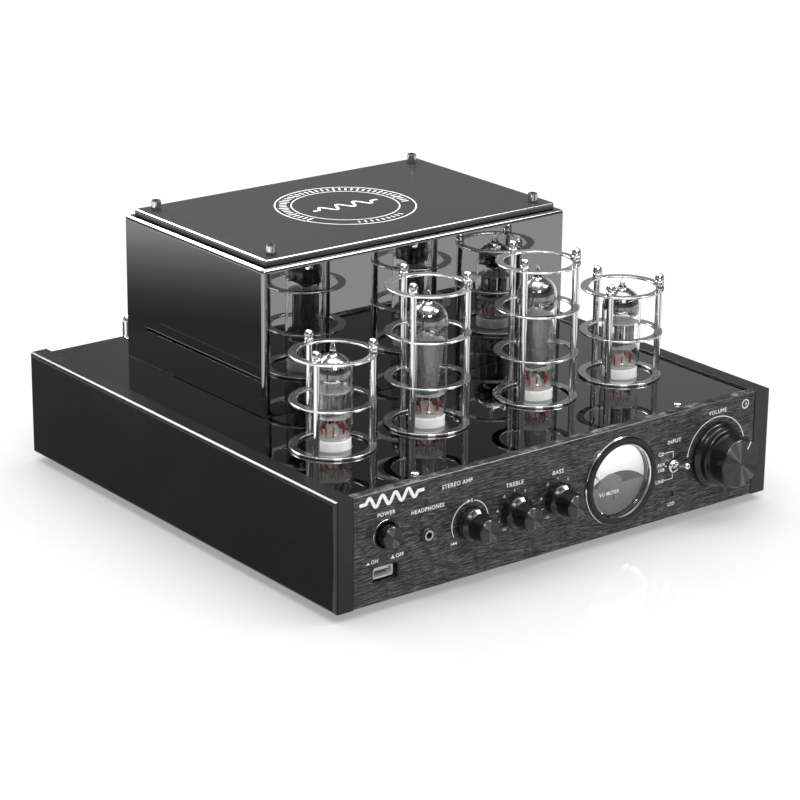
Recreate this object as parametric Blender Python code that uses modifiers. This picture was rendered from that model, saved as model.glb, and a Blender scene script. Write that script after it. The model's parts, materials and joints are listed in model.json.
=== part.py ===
"""Compact valve (tube) amplifier, one object per piece, in metres, +Z up, front facing -Y.

The origin is the bottom centre of the whole amplifier: on the surface it stands on, midway between the side panels
and midway between the front of the volume knob and the ends of the speaker terminals.
"""

import math

import bmesh
import bpy
from mathutils import Euler, Matrix, Vector

MM = 0.001
GAP = 0.3 * MM  # clearance between pieces that touch

# ---- driving dimensions -------------------------------------------------------------------------------------------
CHASSIS_WIDTH = 308 * MM
CHASSIS_DEPTH = 303 * MM
SIDE_HEIGHT = 62.2 * MM
SIDE_THICKNESS = 12 * MM
FOOT_HEIGHT = 5 * MM
FRONT_THICKNESS = 6 * MM
DECK_DROP = 1.2 * MM  # the deck lies this far below the side panels' top
DECK_THICKNESS = 1.5 * MM
SHEET = 1.5 * MM
REAR_RECESS = 3 * MM
KNOB_REACH = 20.5 * MM  # how far the volume knob and the speaker terminals stand out of the chassis

COVER_WIDTH = 215.4 * MM
COVER_DEPTH = 140.5 * MM
COVER_HEIGHT = 84.8 * MM
COVER_FRONT_SETBACK = 128.7 * MM
COVER_SHEET = 1.2 * MM
COVER_EDGE_RADIUS = 3 * MM
LID_INSET = 4.15 * MM
LID_THICKNESS = 3.6 * MM

TUBE_ROW_SETBACK = 71.6 * MM
TUBE_OUTER_X = 102.8 * MM
TUBE_INNER_X = 38.8 * MM
GUARD_RADIUS = 23.9 * MM
GUARD_RING_WIDTH = 4.7 * MM
GUARD_RING_THICKNESS = 1 * MM
GUARD_PITCH = 25.9 * MM
GUARD_POST_RADIUS = 1.9 * MM
GUARD_POST_ANGLES = (90, 210, 330)
SOCKET_RISE = 5.5 * MM
GLASS_RADIUS = 11.2 * MM

# ---- places worked out from them ------------------------------------------------------------------------------------
HALF_WIDTH = CHASSIS_WIDTH / 2
FRONT_Y = -CHASSIS_DEPTH / 2
REAR_Y = CHASSIS_DEPTH / 2
REAR_FACE_Y = REAR_Y - REAR_RECESS
BASE_Z = FOOT_HEIGHT
SIDE_TOP_Z = BASE_Z + SIDE_HEIGHT
DECK_TOP_Z = SIDE_TOP_Z - DECK_DROP
DECK_UNDER_Z = DECK_TOP_Z - DECK_THICKNESS
INNER_WIDTH = CHASSIS_WIDTH - 2 * SIDE_THICKNESS - 2 * GAP
INNER_FRONT_Y = FRONT_Y + FRONT_THICKNESS
CONTROL_Z = BASE_Z + SIDE_HEIGHT / 2
TUBE_Y = FRONT_Y + TUBE_ROW_SETBACK
COVER_Y = FRONT_Y + COVER_FRONT_SETBACK + COVER_DEPTH / 2
COVER_BASE_Z = DECK_TOP_Z + GAP
COVER_TOP_Z = COVER_BASE_Z + COVER_HEIGHT
LID_BASE_Z = COVER_TOP_Z + GAP
LID_TOP_Z = LID_BASE_Z + LID_THICKNESS
SOCKET_TOP_Z = DECK_TOP_Z + SOCKET_RISE

# Controls along the front panel, left to right, by the X of each centre.
POWER_X, POWER_Z = -121.2 * MM, BASE_Z + 37.5 * MM
USB_Z = BASE_Z + 16 * MM
PHONES_X = -94.3 * MM
TRACK_X, TREBLE_X, BASS_X = -65.4 * MM, -35.1 * MM, -4.8 * MM
METER_X = 40.6 * MM
INPUT_X = 79.8 * MM
LED_Z = BASE_Z + 14.1 * MM
VOLUME_X = 112.8 * MM

# Faces round the axis of a round piece, by its size.
FINE, ROUND, SMALL, TINY = 20, 14, 8, 6

OUT_OF_FRONT = Euler((math.pi / 2, 0, 0))  # local +Z points out of the front panel, along -Y
OUT_OF_REAR = Euler((-math.pi / 2, 0, 0))  # local +Z points out of the rear panel, along +Y
UPRIGHT = Euler((0, 0, 0))


# ---- scene and materials --------------------------------------------------------------------------------------------
for old in list(bpy.data.objects):
    bpy.data.objects.remove(old)

PARTS = bpy.data.collections.new("valve_amplifier")
HELPERS = bpy.data.collections.new("cutters")
HELPERS.hide_render = True
for collection in (PARTS, HELPERS):
    bpy.context.scene.collection.children.link(collection)


def material(name, colour, roughness, metallic=0.0, alpha=1.0):
    made = bpy.data.materials.new(name)
    made.use_nodes = True
    shader = made.node_tree.nodes["Principled BSDF"]
    shader.inputs["Base Color"].default_value = (*colour, 1)
    shader.inputs["Roughness"].default_value = roughness
    shader.inputs["Metallic"].default_value = metallic
    shader.inputs["Alpha"].default_value = alpha
    return made


ANODISED = material("black_anodised", (0.02, 0.02, 0.021), 0.35, 0.6)
BRUSHED = material("black_brushed", (0.05, 0.05, 0.052), 0.35, 0.9)
MIRROR_BLACK = material("mirror_black", (0.02, 0.02, 0.02), 0.04, 0.4)
SATIN_BLACK = material("satin_black", (0.06, 0.06, 0.06), 0.4)
CHROME = material("chrome", (0.85, 0.85, 0.86), 0.06, 1.0)
CERAMIC = material("ceramic", (0.9, 0.9, 0.88), 0.3)
GLASS = material("glass", (0.95, 0.97, 0.98), 0.03, 0.0, 0.3)
ELECTRODE = material("electrode", (0.25, 0.25, 0.26), 0.5, 0.7)
RUBBER = material("rubber", (0.02, 0.02, 0.02), 0.8)
PLASTIC = material("black_plastic", (0.03, 0.03, 0.03), 0.45)
STEEL = material("plated_steel", (0.55, 0.56, 0.57), 0.35, 1.0)
CORE = material("core_steel", (0.16, 0.16, 0.17), 0.5, 0.8)
BOARD = material("circuit_board", (0.02, 0.11, 0.05), 0.5)
DIAL = material("dial", (0.85, 0.85, 0.82), 0.5)


# ---- modelling tools --------------------------------------------------------------------------------------------------
def add(name, mesh, look, place=(0, 0, 0), rotation=UPRIGHT, helper=False):
    """A new object from a mesh, in the parts' collection or, as a helper, among the cutters."""
    made = bpy.data.objects.new(name, mesh)
    made.location = place
    made.rotation_euler = rotation
    if helper:
        HELPERS.objects.link(made)
        made.hide_render = True
        made.display_type = "WIRE"
    else:
        PARTS.objects.link(made)
        mesh.materials.append(look)
        mesh.shade_smooth()
        mesh.set_sharp_from_angle(angle=math.radians(35))
    return made


def mesh_from(name, build):
    """A mesh filled by build, a function that is given an empty bmesh."""
    bm = bmesh.new()
    build(bm)
    mesh = bpy.data.meshes.new(name)
    bm.to_mesh(mesh)
    bm.free()
    return mesh


def boxes(name, items, look=None, place=(0, 0, 0), helper=False, round_edges=None):
    """Boxes, each (size, centre), as one mesh. round_edges is (test, radius, segments); test takes an edge's two ends."""

    def build(bm):
        for size, centre in items:
            bmesh.ops.create_cube(bm, size=1, matrix=Matrix.Translation(centre) @ Matrix.Diagonal((*size, 1)))
        for test, radius, segments in round_edges or ():
            chosen = [e for e in bm.edges if test(e.verts[0].co, e.verts[1].co)]
            bmesh.ops.bevel(bm, geom=chosen, offset=radius, segments=segments, profile=0.5, affect="EDGES")

    return add(name, mesh_from(name, build), look, place, helper=helper)


def cylinders(name, items, faces, look=None, place=(0, 0, 0), rotation=UPRIGHT, helper=False):
    """Upright cylinders, each (radius, bottom, top, x, y), as one mesh, then placed and turned together."""

    def build(bm):
        for radius, bottom, top, x, y in items:
            bmesh.ops.create_cone(
                bm, cap_ends=True, segments=faces, radius1=radius, radius2=radius, depth=top - bottom,
                matrix=Matrix.Translation((x, y, (bottom + top) / 2)),
            )

    return add(name, mesh_from(name, build), look, place, rotation, helper)


def turned(name, profile, faces, look=None, place=(0, 0, 0), rotation=UPRIGHT, helper=False, ring=False):
    """A solid turned about local +Z. profile is (radius, height) points down the outside; ring closes the loop."""
    mesh = bpy.data.meshes.new(name)
    ends = [(i, i + 1) for i in range(len(profile) - 1)]
    if ring:
        ends.append((len(profile) - 1, 0))
    mesh.from_pydata([(radius, 0, height) for radius, height in profile], ends, [])
    made = add(name, mesh, look, place, rotation, helper)
    screw = made.modifiers.new("turn", "SCREW")
    screw.steps = screw.render_steps = faces
    screw.use_smooth_shade = True
    screw.use_merge_vertices = True
    screw.merge_threshold = 0.00001
    return made


def arc(centre, radius, start, end, points):
    """Points round an arc in the (radius, height) plane, angles in degrees from the outward direction."""
    angles = [math.radians(start + (end - start) * i / (points - 1)) for i in range(points)]
    return [(centre[0] + radius * math.cos(a), centre[1] + radius * math.sin(a)) for a in angles]


def combine(target, operation, *others):
    for other in others:
        boolean = target.modifiers.new(operation.lower(), "BOOLEAN")
        boolean.operation = operation
        boolean.solver = "EXACT"
        boolean.object = other
    return target


def cut(target, *cutters):
    return combine(target, "DIFFERENCE", *cutters)


def fuse(target, *pieces):
    return combine(target, "UNION", *pieces)


def along_y(a, b):
    return abs(a.y - b.y) > abs(a.x - b.x) + abs(a.z - b.z)


# ---- casing -----------------------------------------------------------------------------------------------------------
def side_panel(name, side):
    """Solid extruded side rail. Its two outer long edges are rounded."""
    place = (side * (HALF_WIDTH - SIDE_THICKNESS / 2), 0, BASE_Z + SIDE_HEIGHT / 2)
    size = (SIDE_THICKNESS, CHASSIS_DEPTH, SIDE_HEIGHT)
    outer_edge = (lambda a, b: along_y(a, b) and a.x * side > 0, 2.2 * MM, 4)
    return boxes(name, [(size, (0, 0, 0))], ANODISED, place, round_edges=[outer_edge])


def front_panel():
    height = SIDE_HEIGHT - 0.4 * MM
    place = (0, FRONT_Y + FRONT_THICKNESS / 2, BASE_Z + SIDE_HEIGHT / 2)
    front_edges = (lambda a, b: a.y < 0 and b.y < 0, 0.6 * MM, 1)
    panel = boxes(
        "front_panel", [((INNER_WIDTH, FRONT_THICKNESS, height), (0, 0, 0))], BRUSHED, place, round_edges=[front_edges]
    )
    depth = 2 * FRONT_THICKNESS
    spindles = [(3.6 * MM, -depth, depth, x, 0) for x in (TRACK_X, TREBLE_X, BASS_X, VOLUME_X)]
    middle = (0, FRONT_Y, CONTROL_Z)
    small = spindles + [
        (3.6 * MM, -depth, depth, PHONES_X, 0),
        (3.6 * MM, -depth, depth, INPUT_X, 0),
        (1.8 * MM, -depth, depth, INPUT_X, LED_Z - CONTROL_Z),
    ]
    large = [(8.9 * MM, -depth, depth, POWER_X, POWER_Z - CONTROL_Z)]
    usb_slot = boxes(
        "usb_slot", [((17.8 * MM, 3 * depth, 10 * MM), (0, 0, 0))], None, (POWER_X, FRONT_Y, USB_Z), True,
        [(along_y, 2.2 * MM, 3)],
    )
    return cut(
        panel,
        cylinders("front_small_holes", small, SMALL, None, middle, OUT_OF_FRONT, True),
        cylinders("front_button_hole", large, ROUND, None, middle, OUT_OF_FRONT, True),
        cylinders("meter_hole", [(23.8 * MM, -depth, depth, METER_X, 0)], FINE, None, middle, OUT_OF_FRONT, True),
        usb_slot,
    )


def tube_places():
    """Name, X and whether the tube is a tall one, from left to right."""
    return (
        ("outer_left", -TUBE_OUTER_X, False),
        ("inner_left", -TUBE_INNER_X, True),
        ("inner_right", TUBE_INNER_X, True),
        ("outer_right", TUBE_OUTER_X, False),
    )


def guard_posts():
    """Centres of a guard's three posts, from the guard's own centre."""
    reach = GUARD_RADIUS - GUARD_RING_WIDTH / 2
    return [(reach * math.cos(math.radians(a)), reach * math.sin(math.radians(a))) for a in GUARD_POST_ANGLES]


def deck_plate():
    front, rear = INNER_FRONT_Y + GAP, REAR_FACE_Y + GAP
    size = (INNER_WIDTH, rear - front, DECK_THICKNESS)
    place = (0, (front + rear) / 2, DECK_TOP_Z - DECK_THICKNESS / 2)
    deck = boxes("deck_plate", [(size, (0, 0, 0))], MIRROR_BLACK, place)
    reach = 5 * MM
    sockets = [(10.8 * MM, -reach, reach, x, TUBE_Y) for _, x, _ in tube_places()]
    studs = [(1.7 * MM, -reach, reach, x + dx, TUBE_Y + dy) for _, x, _ in tube_places() for dx, dy in guard_posts()]
    leads = [(6 * MM, -reach, reach, x, COVER_Y - 45 * MM) for x in (-74 * MM, 0, 74 * MM)]
    at_deck = (0, 0, DECK_TOP_Z)
    return cut(
        deck,
        cylinders("deck_socket_holes", sockets, ROUND, None, at_deck, helper=True),
        cylinders("deck_stud_and_lead_holes", studs + leads, TINY, None, at_deck, helper=True),
    )


def bottom_plate():
    front, rear = INNER_FRONT_Y + GAP, REAR_FACE_Y - SHEET - GAP
    size = (INNER_WIDTH, rear - front, 1.2 * MM)
    plate = boxes("bottom_plate", [(size, (0, 0, 0))], SATIN_BLACK, (0, (front + rear) / 2, BASE_Z + 0.8 * MM))
    slot = (3 * MM, 44 * MM, 6 * MM)
    slots = [(slot, (side * (40 + 9 * i) * MM, 40 * MM, 0)) for side in (-1, 1) for i in range(5)]
    return cut(plate, boxes("bottom_slots", slots, None, (0, 0, BASE_Z), True))


def rear_panel():
    bottom, top = BASE_Z + 0.2 * MM, DECK_UNDER_Z - GAP
    size = (INNER_WIDTH, SHEET, top - bottom)
    panel = boxes("rear_panel", [(size, (0, 0, 0))], SATIN_BLACK, (0, REAR_FACE_Y - SHEET / 2, (bottom + top) / 2))
    windows = [
        ((29 * MM, 20 * MM, 21 * MM), (INLET_X, REAR_FACE_Y, INLET_Z)),
        ((72 * MM, 20 * MM, 30 * MM), (JACKS_X, REAR_FACE_Y, CONTROL_Z)),
        ((78 * MM, 20 * MM, 12 * MM), (TERMINALS_X, REAR_FACE_Y, CONTROL_Z)),
    ]
    antenna_hole = cylinders(
        "antenna_hole", [(3.4 * MM, -5 * MM, 5 * MM, 0, 0)], SMALL, None, (ANTENNA_X, REAR_FACE_Y, ANTENNA_Z),
        OUT_OF_REAR, True,
    )
    return cut(panel, boxes("rear_windows", windows, None, helper=True), antenna_hole)


def foot(name, x, y):
    """Turned rubber foot with a screw recess underneath."""
    top = FOOT_HEIGHT - 0.1 * MM
    profile = [(0, top), (10 * MM, top), (10 * MM, 2 * MM), (9 * MM, 0), (3 * MM, 0), (3 * MM, 2.5 * MM), (0, 2.5 * MM)]
    return turned(name, profile, ROUND, RUBBER, (x, y, 0))


def cover_screw_places():
    reach_x, reach_y = 93.5 * MM, 57.5 * MM
    return (
        ("front_left", -reach_x, COVER_Y - reach_y),
        ("front_right", reach_x, COVER_Y - reach_y),
        ("rear_left", -reach_x, COVER_Y + reach_y),
        ("rear_right", reach_x, COVER_Y + reach_y),
    )


def cover_screw_holes(name):
    holes = [(1.7 * MM, -8 * MM, 8 * MM, x, y) for _, x, y in cover_screw_places()]
    return cylinders(name, holes, SMALL, None, (0, 0, COVER_TOP_Z), helper=True)


def transformer_cover():
    """Drawn sheet box, open underneath, over the three transformers."""

    def build(bm):
        size = Matrix.Diagonal((COVER_WIDTH, COVER_DEPTH, COVER_HEIGHT, 1))
        bmesh.ops.create_cube(bm, size=1, matrix=Matrix.Translation((0, 0, COVER_HEIGHT / 2)) @ size)
        underside = [f for f in bm.faces if f.normal.z < -0.5]
        bmesh.ops.delete(bm, geom=underside, context="FACES_ONLY")
        rounded = [e for e in bm.edges if len(e.link_faces) == 2]
        bmesh.ops.bevel(bm, geom=rounded, offset=COVER_EDGE_RADIUS, segments=2, profile=0.5, affect="EDGES")

    cover = add("transformer_cover", mesh_from("transformer_cover", build), MIRROR_BLACK, (0, COVER_Y, COVER_BASE_Z))
    wall = cover.modifiers.new("wall", "SOLIDIFY")
    wall.thickness = COVER_SHEET
    wall.offset = -1
    return cut(cover, cover_screw_holes("cover_top_holes"))


def cover_lid():
    size = (COVER_WIDTH - 2 * LID_INSET, COVER_DEPTH - 2 * LID_INSET, LID_THICKNESS)
    corners = (lambda a, b: abs(a.z - b.z) > 1 * MM, 2 * MM, 2)
    rim = (lambda a, b: a.z > 0 and b.z > 0, 0.7 * MM, 1)
    place = (0, COVER_Y, LID_BASE_Z + LID_THICKNESS / 2)
    lid = boxes("cover_lid", [(size, (0, 0, 0))], SATIN_BLACK, place, round_edges=[corners, rim])
    return cut(lid, cover_screw_holes("lid_holes"))


def cover_screw(name, x, y):
    """Socket cap screw that holds the lid down."""
    head, shank, socket = 3.0 * MM, 1.35 * MM, 1.3 * MM
    top, bottom = 5.4 * MM, -9 * MM
    profile = [
        (0, top - 1.8 * MM), (socket, top - 1.8 * MM), (socket, top), (head - 0.4 * MM, top), (head, top - 0.4 * MM),
        (head, GAP), (shank, GAP), (shank, bottom), (0, bottom),
    ]
    return turned(name, profile, SMALL, CHROME, (x, y, LID_TOP_Z))


# ---- tubes, sockets and guards --------------------------------------------------------------------------------------
PIN_CIRCLE = 5.95 * MM
PIN_COUNT = 9
PIN_SPACING = 36  # degrees; the tenth place on the circle has no pin
PIN_FACES = 4


def pin_places():
    angles = [math.radians(-90 + PIN_SPACING * (i + 1)) for i in range(PIN_COUNT)]
    return [(PIN_CIRCLE * math.cos(a), PIN_CIRCLE * math.sin(a)) for a in angles]


def tube_socket(name, x):
    """Ceramic nine-pin socket: its collar stands above the deck, its flange and body hang below."""
    collar, flange, body = 10.3 * MM, 13.5 * MM, 9.2 * MM
    under = -DECK_THICKNESS - GAP
    bottom = -17 * MM
    profile = [
        (0, SOCKET_RISE), (collar - 0.6 * MM, SOCKET_RISE), (collar, SOCKET_RISE - 0.6 * MM), (collar, under),
        (flange, under), (flange, under - 2 * MM), (body, under - 2 * MM), (body, bottom), (0, bottom),
    ]
    place = (x, TUBE_Y, DECK_TOP_Z)
    socket = turned(name, profile, ROUND, CERAMIC, place)
    holes = [(1.15 * MM, SOCKET_RISE - 9 * MM, SOCKET_RISE + 2 * MM, dx, dy) for dx, dy in pin_places()]
    return cut(socket, cylinders(name + "_holes", holes, PIN_FACES, None, place, helper=True))


def envelope_profile(tall):
    """(radius, height) of the glass, from the tip down the outside and up the inside. Height 0 is the socket's top."""
    dome = 64 * MM if tall else 46.5 * MM
    tip = dome + 7 * MM
    shoulder = dome - 9.5 * MM
    wall = 0.9 * MM

    def crown(radius, rise):
        return [(r, shoulder + (h - shoulder) * rise / radius) for r, h in arc((0, shoulder), radius, 75, 0, 4)]

    outside = [(0, tip), (1.2 * MM, tip - 0.8 * MM), (1.7 * MM, dome + 0.9 * MM)]
    outside += crown(GLASS_RADIUS, dome - shoulder)
    outside += [(GLASS_RADIUS, 5 * MM), (9.9 * MM, GAP)]
    inside = [(9.3 * MM, GAP), (GLASS_RADIUS - wall, 5.4 * MM)]
    inside += reversed(crown(GLASS_RADIUS - wall, dome - shoulder - wall))
    return outside + inside + [(0, dome - 1.2 * MM)]


def tube_envelope(name, x, tall):
    return turned(name, envelope_profile(tall), ROUND, GLASS, (x, TUBE_Y, SOCKET_TOP_Z))


def tube_electrodes(name, x, tall):
    """Glass button with nine pins, two mica discs, the anode and the getter ring, all on their support rods."""
    place = (x, TUBE_Y, SOCKET_TOP_Z)
    low_mica = 12 * MM
    high_mica = 42.5 * MM if tall else 26.5 * MM
    getter_z = high_mica + 9 * MM
    button = cylinders(name, [(9 * MM, GAP, 2.2 * MM, 0, 0)], SMALL, ELECTRODE, place)
    pins = [(0.5 * MM, -6.2 * MM, 1 * MM, dx, dy) for dx, dy in pin_places()]
    rods = [(0.6 * MM, 1.5 * MM, high_mica + 2 * MM, side * 6.6 * MM, 0) for side in (-1, 1)]
    stalk = [(0.6 * MM, high_mica - 1 * MM, getter_z, 0, 5.2 * MM)]
    micas = [(9.2 * MM, z, z + 0.6 * MM, 0, 0) for z in (low_mica, high_mica)]
    anode_low, anode_high = low_mica + 0.3 * MM, high_mica + 0.3 * MM
    if tall:
        anode = cylinders(name + "_anode", [(6.2 * MM, anode_low, anode_high, 0, 0)], SMALL, None, place, helper=True)
    else:
        size = (6.4 * MM, 8 * MM, anode_high - anode_low)
        middle = (anode_low + anode_high) / 2
        anode = boxes(
            name + "_anodes", [(size, (side * 4.1 * MM, 0, middle)) for side in (-1, 1)], None, place, helper=True
        )
    getter = turned(
        name + "_getter",
        [(5.8 * MM, getter_z), (5.8 * MM, getter_z - 1 * MM), (4.6 * MM, getter_z - 1 * MM), (4.6 * MM, getter_z)],
        SMALL, None, place, helper=True, ring=True,
    )
    return fuse(
        button,
        cylinders(name + "_pins", pins, PIN_FACES, None, place, helper=True),
        cylinders(name + "_micas", micas, SMALL, None, place, helper=True),
        cylinders(name + "_rods", rods, TINY, None, place, helper=True),
        anode,
        cylinders(name + "_stalk", stalk, TINY, None, place, helper=True),
        getter,
    )


def tube_guard(name, x, tall):
    """Three chromed posts with acorn nuts, joined by flat rings. The lowest ring rests on the deck."""
    place = (x, TUBE_Y, DECK_TOP_Z)
    rings = 4 if tall else 3
    inner = GUARD_RADIUS - GUARD_RING_WIDTH

    def ring(ring_name, level, helper):
        low = GAP + level * GUARD_PITCH
        high = low + GUARD_RING_THICKNESS
        section = [(GUARD_RADIUS, high), (GUARD_RADIUS, low), (inner, low), (inner, high)]
        return turned(ring_name, section, ROUND, CHROME, place, helper=helper, ring=True)

    top = GAP + GUARD_RING_THICKNESS + (rings - 1) * GUARD_PITCH
    nut = 2.7 * MM
    post = [(0, top + 7.1 * MM)] + arc((0, top + 7.1 * MM - nut), nut, 55, 0, 3)
    post += [(nut, top + 0.3 * MM), (GUARD_POST_RADIUS, top + 0.3 * MM), (GUARD_POST_RADIUS, 0.6 * MM)]
    post += [(1.2 * MM, 0.6 * MM), (1.2 * MM, -6 * MM), (0, -6 * MM)]
    posts = [
        turned(f"{name}_post_{i}", post, TINY, None, Vector(place) + Vector((dx, dy, 0)), helper=True)
        for i, (dx, dy) in enumerate(guard_posts())
    ]
    others = [ring(f"{name}_ring_{level}", level, True) for level in range(1, rings)]
    return fuse(ring(name, 0, False), *posts, *others)


# ---- transformers and boards ------------------------------------------------------------------------------------------
def transformer(name, x, core, coil):
    """Laminated core with its winding through the middle, standing on the deck under the cover."""
    place = (x, COVER_Y, DECK_TOP_Z + GAP)
    body = boxes(name, [(core, (0, 0, core[2] / 2))], CORE, place)
    winding = boxes(name + "_winding", [(coil, (0, 0, core[2] / 2))], None, place, True)
    tabs = [((core[0] + 10 * MM, 14 * MM, 2.5 * MM), (0, 0, 1.3 * MM))]
    return fuse(body, winding, boxes(name + "_tabs", tabs, None, place, True))


def main_board():
    """Power-supply and output board on four pillars, with its reservoir capacitors, relay and heatsink."""
    place = (8 * MM, 52 * MM, BASE_Z + 11 * MM)
    board = boxes("main_board", [((216 * MM, 128 * MM, 1.6 * MM), (0, 0, 0))], BOARD, place)
    pillars = [
        (3 * MM, -9 * MM, 0.4 * MM, side * 100 * MM, end * 56 * MM) for side in (-1, 1) for end in (-1, 1)
    ]
    capacitors = [(11 * MM, 0.4 * MM, 38 * MM, x * MM, -30 * MM) for x in (-60, -32, -4)]
    relay = [((18 * MM, 24 * MM, 16 * MM), (-88 * MM, 30 * MM, 8.2 * MM))]
    base = [((96 * MM, 5 * MM, 34 * MM), (40 * MM, 34 * MM, 17.5 * MM))]
    fins = [((2.4 * MM, 18 * MM, 34 * MM), ((-4 + 22 * i) * MM, 26 * MM, 17.7 * MM)) for i in range(5)]
    return fuse(
        board,
        cylinders("board_pillars", pillars, SMALL, None, place, helper=True),
        cylinders("board_capacitors", capacitors, SMALL, None, place, helper=True),
        boxes("board_relay", relay, None, place, True),
        boxes("board_heatsink", base, None, place, True),
        boxes("board_fins", fins, None, place, True),
    )


def wireless_board():
    """Small board lying behind the panel, with the USB socket at its front edge."""
    floor_z = -6 * MM
    place = (POWER_X, FRONT_Y + 2.6 * MM, USB_Z)
    shell = boxes(
        "wireless_board", [((13.6 * MM, 16 * MM, 6.6 * MM), (0, 8 * MM, 0))], STEEL, place
    )
    mouth = boxes("usb_mouth", [((12.4 * MM, 24 * MM, 5.2 * MM), (0, 0, 0))], None, place, True)
    tongue = boxes("usb_tongue", [((11 * MM, 13.4 * MM, 1.8 * MM), (0, 7.7 * MM, 0.9 * MM))], None, place, True)
    board = [((30 * MM, 42 * MM, 1.6 * MM), (0, 27 * MM, floor_z + 2.2 * MM))]
    module = [((16 * MM, 14 * MM, 3 * MM), (0, 34 * MM, floor_z + 4.2 * MM))]
    cut(shell, mouth)
    return fuse(
        shell,
        tongue,
        boxes("wireless_board_sheet", board, None, place, True),
        boxes("wireless_module", module, None, place, True),
    )


BOARD_Y = FRONT_Y + 18.3 * MM  # middle of the control board's thickness
POT_DEPTH = 10.4 * MM


def control_board():
    """Upright board behind the panel that carries the four rotary controls."""
    left, right = -80 * MM, 128 * MM
    place = ((left + right) / 2, BOARD_Y, CONTROL_Z)
    board = boxes("control_board", [((right - left, 1.6 * MM, 38 * MM), (0, 0, 0))], BOARD, place)
    body_y = INNER_FRONT_Y + GAP + POT_DEPTH / 2 + 0.5 * MM
    pots = [
        ((17 * MM, POT_DEPTH + 1 * MM, 17 * MM), (x, body_y, CONTROL_Z))
        for x in (TRACK_X, TREBLE_X, BASS_X, VOLUME_X)
    ]
    bores = [(3.5 * MM, -14 * MM, 0, x, 0) for x in (TRACK_X, TREBLE_X, BASS_X, VOLUME_X)]
    fuse(board, boxes("pot_bodies", pots, None, helper=True))
    return cut(board, cylinders("pot_bores", bores, SMALL, None, (0, FRONT_Y, CONTROL_Z), OUT_OF_FRONT, True))


# ---- front controls ---------------------------------------------------------------------------------------------------
SPINDLE = 3 * MM
SPINDLE_BACK = -13 * MM
KNOB_GAP = 0.6 * MM


def spindle_points(radius):
    """The end of a knob's profile: its back face, then its spindle, which reaches into the control behind the panel."""
    return [(radius, KNOB_GAP), (SPINDLE, KNOB_GAP), (SPINDLE, SPINDLE_BACK), (0, SPINDLE_BACK)]


def small_knob(name, x):
    """Skirted knob: a wide skirt with a shoulder, then a slightly tapered grip."""
    face, skirt, reach = 6.6 * MM, 9.4 * MM, 17 * MM
    profile = [
        (0, reach), (face - 0.4 * MM, reach), (face, reach - 0.4 * MM), (7 * MM, 7.4 * MM), (skirt, 4.6 * MM),
    ]
    profile += spindle_points(skirt)
    return turned(name, profile, ROUND, ANODISED, (x, FRONT_Y, CONTROL_Z), OUT_OF_FRONT)


def volume_knob():
    face, band, flange = 14.2 * MM, 16.6 * MM, 18.9 * MM
    profile = [
        (0, KNOB_REACH), (face - 0.6 * MM, KNOB_REACH), (face, KNOB_REACH - 0.6 * MM), (face, 9.6 * MM),
        (band, 9 * MM), (band, 4.8 * MM), (flange, 3.6 * MM),
    ]
    profile += spindle_points(flange)
    return turned("volume_knob", profile, FINE, ANODISED, (VOLUME_X, FRONT_Y, CONTROL_Z), OUT_OF_FRONT)


def power_switch():
    """Latching push switch: a ring that lines the panel's hole, and the switch body behind it."""
    outer, inner = 8.35 * MM, 6.9 * MM
    front, back = 1.2 * MM, -11 * MM
    place = (POWER_X, FRONT_Y, POWER_Z)
    section = [(outer - 0.5 * MM, front), (outer, front - 0.5 * MM), (outer, back), (inner, back), (inner, front)]
    ring = turned("power_switch", section, ROUND, CHROME, place, OUT_OF_FRONT, ring=True)
    block = boxes(
        "power_switch_block", [((20 * MM, 24 * MM, 16 * MM), (0, 22 * MM, 0))], None, place, True
    )
    bore = cylinders(
        "power_switch_bore", [(3.1 * MM, -26 * MM, -5 * MM, 0, 0)], SMALL, None, place, OUT_OF_FRONT, True
    )
    fuse(ring, block)
    return cut(ring, bore)


def power_button():
    face, reach, back = 6.35 * MM, 6.6 * MM, -5.5 * MM
    profile = [
        (0, reach), (face - 0.5 * MM, reach), (face, reach - 0.5 * MM), (face, back), (2.5 * MM, back),
        (2.5 * MM, -18 * MM), (0, -18 * MM),
    ]
    return turned("power_button", profile, ROUND, ANODISED, (POWER_X, FRONT_Y, POWER_Z), OUT_OF_FRONT)


def headphone_jack():
    """3.5 mm jack: knurled nut outside the panel, threaded barrel through it, body behind."""
    nut, barrel, bore = 4.3 * MM, 3 * MM, 1.75 * MM
    place = (PHONES_X, FRONT_Y, CONTROL_Z)
    profile = [
        (bore, 2 * MM), (barrel, 2 * MM), (barrel, 1.6 * MM), (nut - 0.3 * MM, 1.6 * MM), (nut, 1.3 * MM),
        (nut, GAP), (barrel, GAP), (barrel, -8 * MM), (bore, -8 * MM),
    ]
    jack = turned("headphone_jack", profile, SMALL, STEEL, place, OUT_OF_FRONT, ring=True)
    block = boxes("jack_block", [((11 * MM, 10 * MM, 11 * MM), (0, 11.4 * MM, 0))], None, place, True)
    bore_tool = cylinders("jack_bore", [(bore, -14 * MM, 4 * MM, 0, 0)], SMALL, None, place, OUT_OF_FRONT, True)
    fuse(jack, block)
    return cut(jack, bore_tool)


def status_led():
    profile = [(0, 0.2 * MM)] + arc((0, -1 * MM), 1.45 * MM, 50, 0, 3)
    profile += [(1.45 * MM, -8 * MM), (0, -8 * MM)]
    return turned("status_led", profile, SMALL, PLASTIC, (INPUT_X, FRONT_Y, LED_Z), OUT_OF_FRONT)


LEVER_TILT = math.radians(16)  # the lever rests in its upper position


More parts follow.
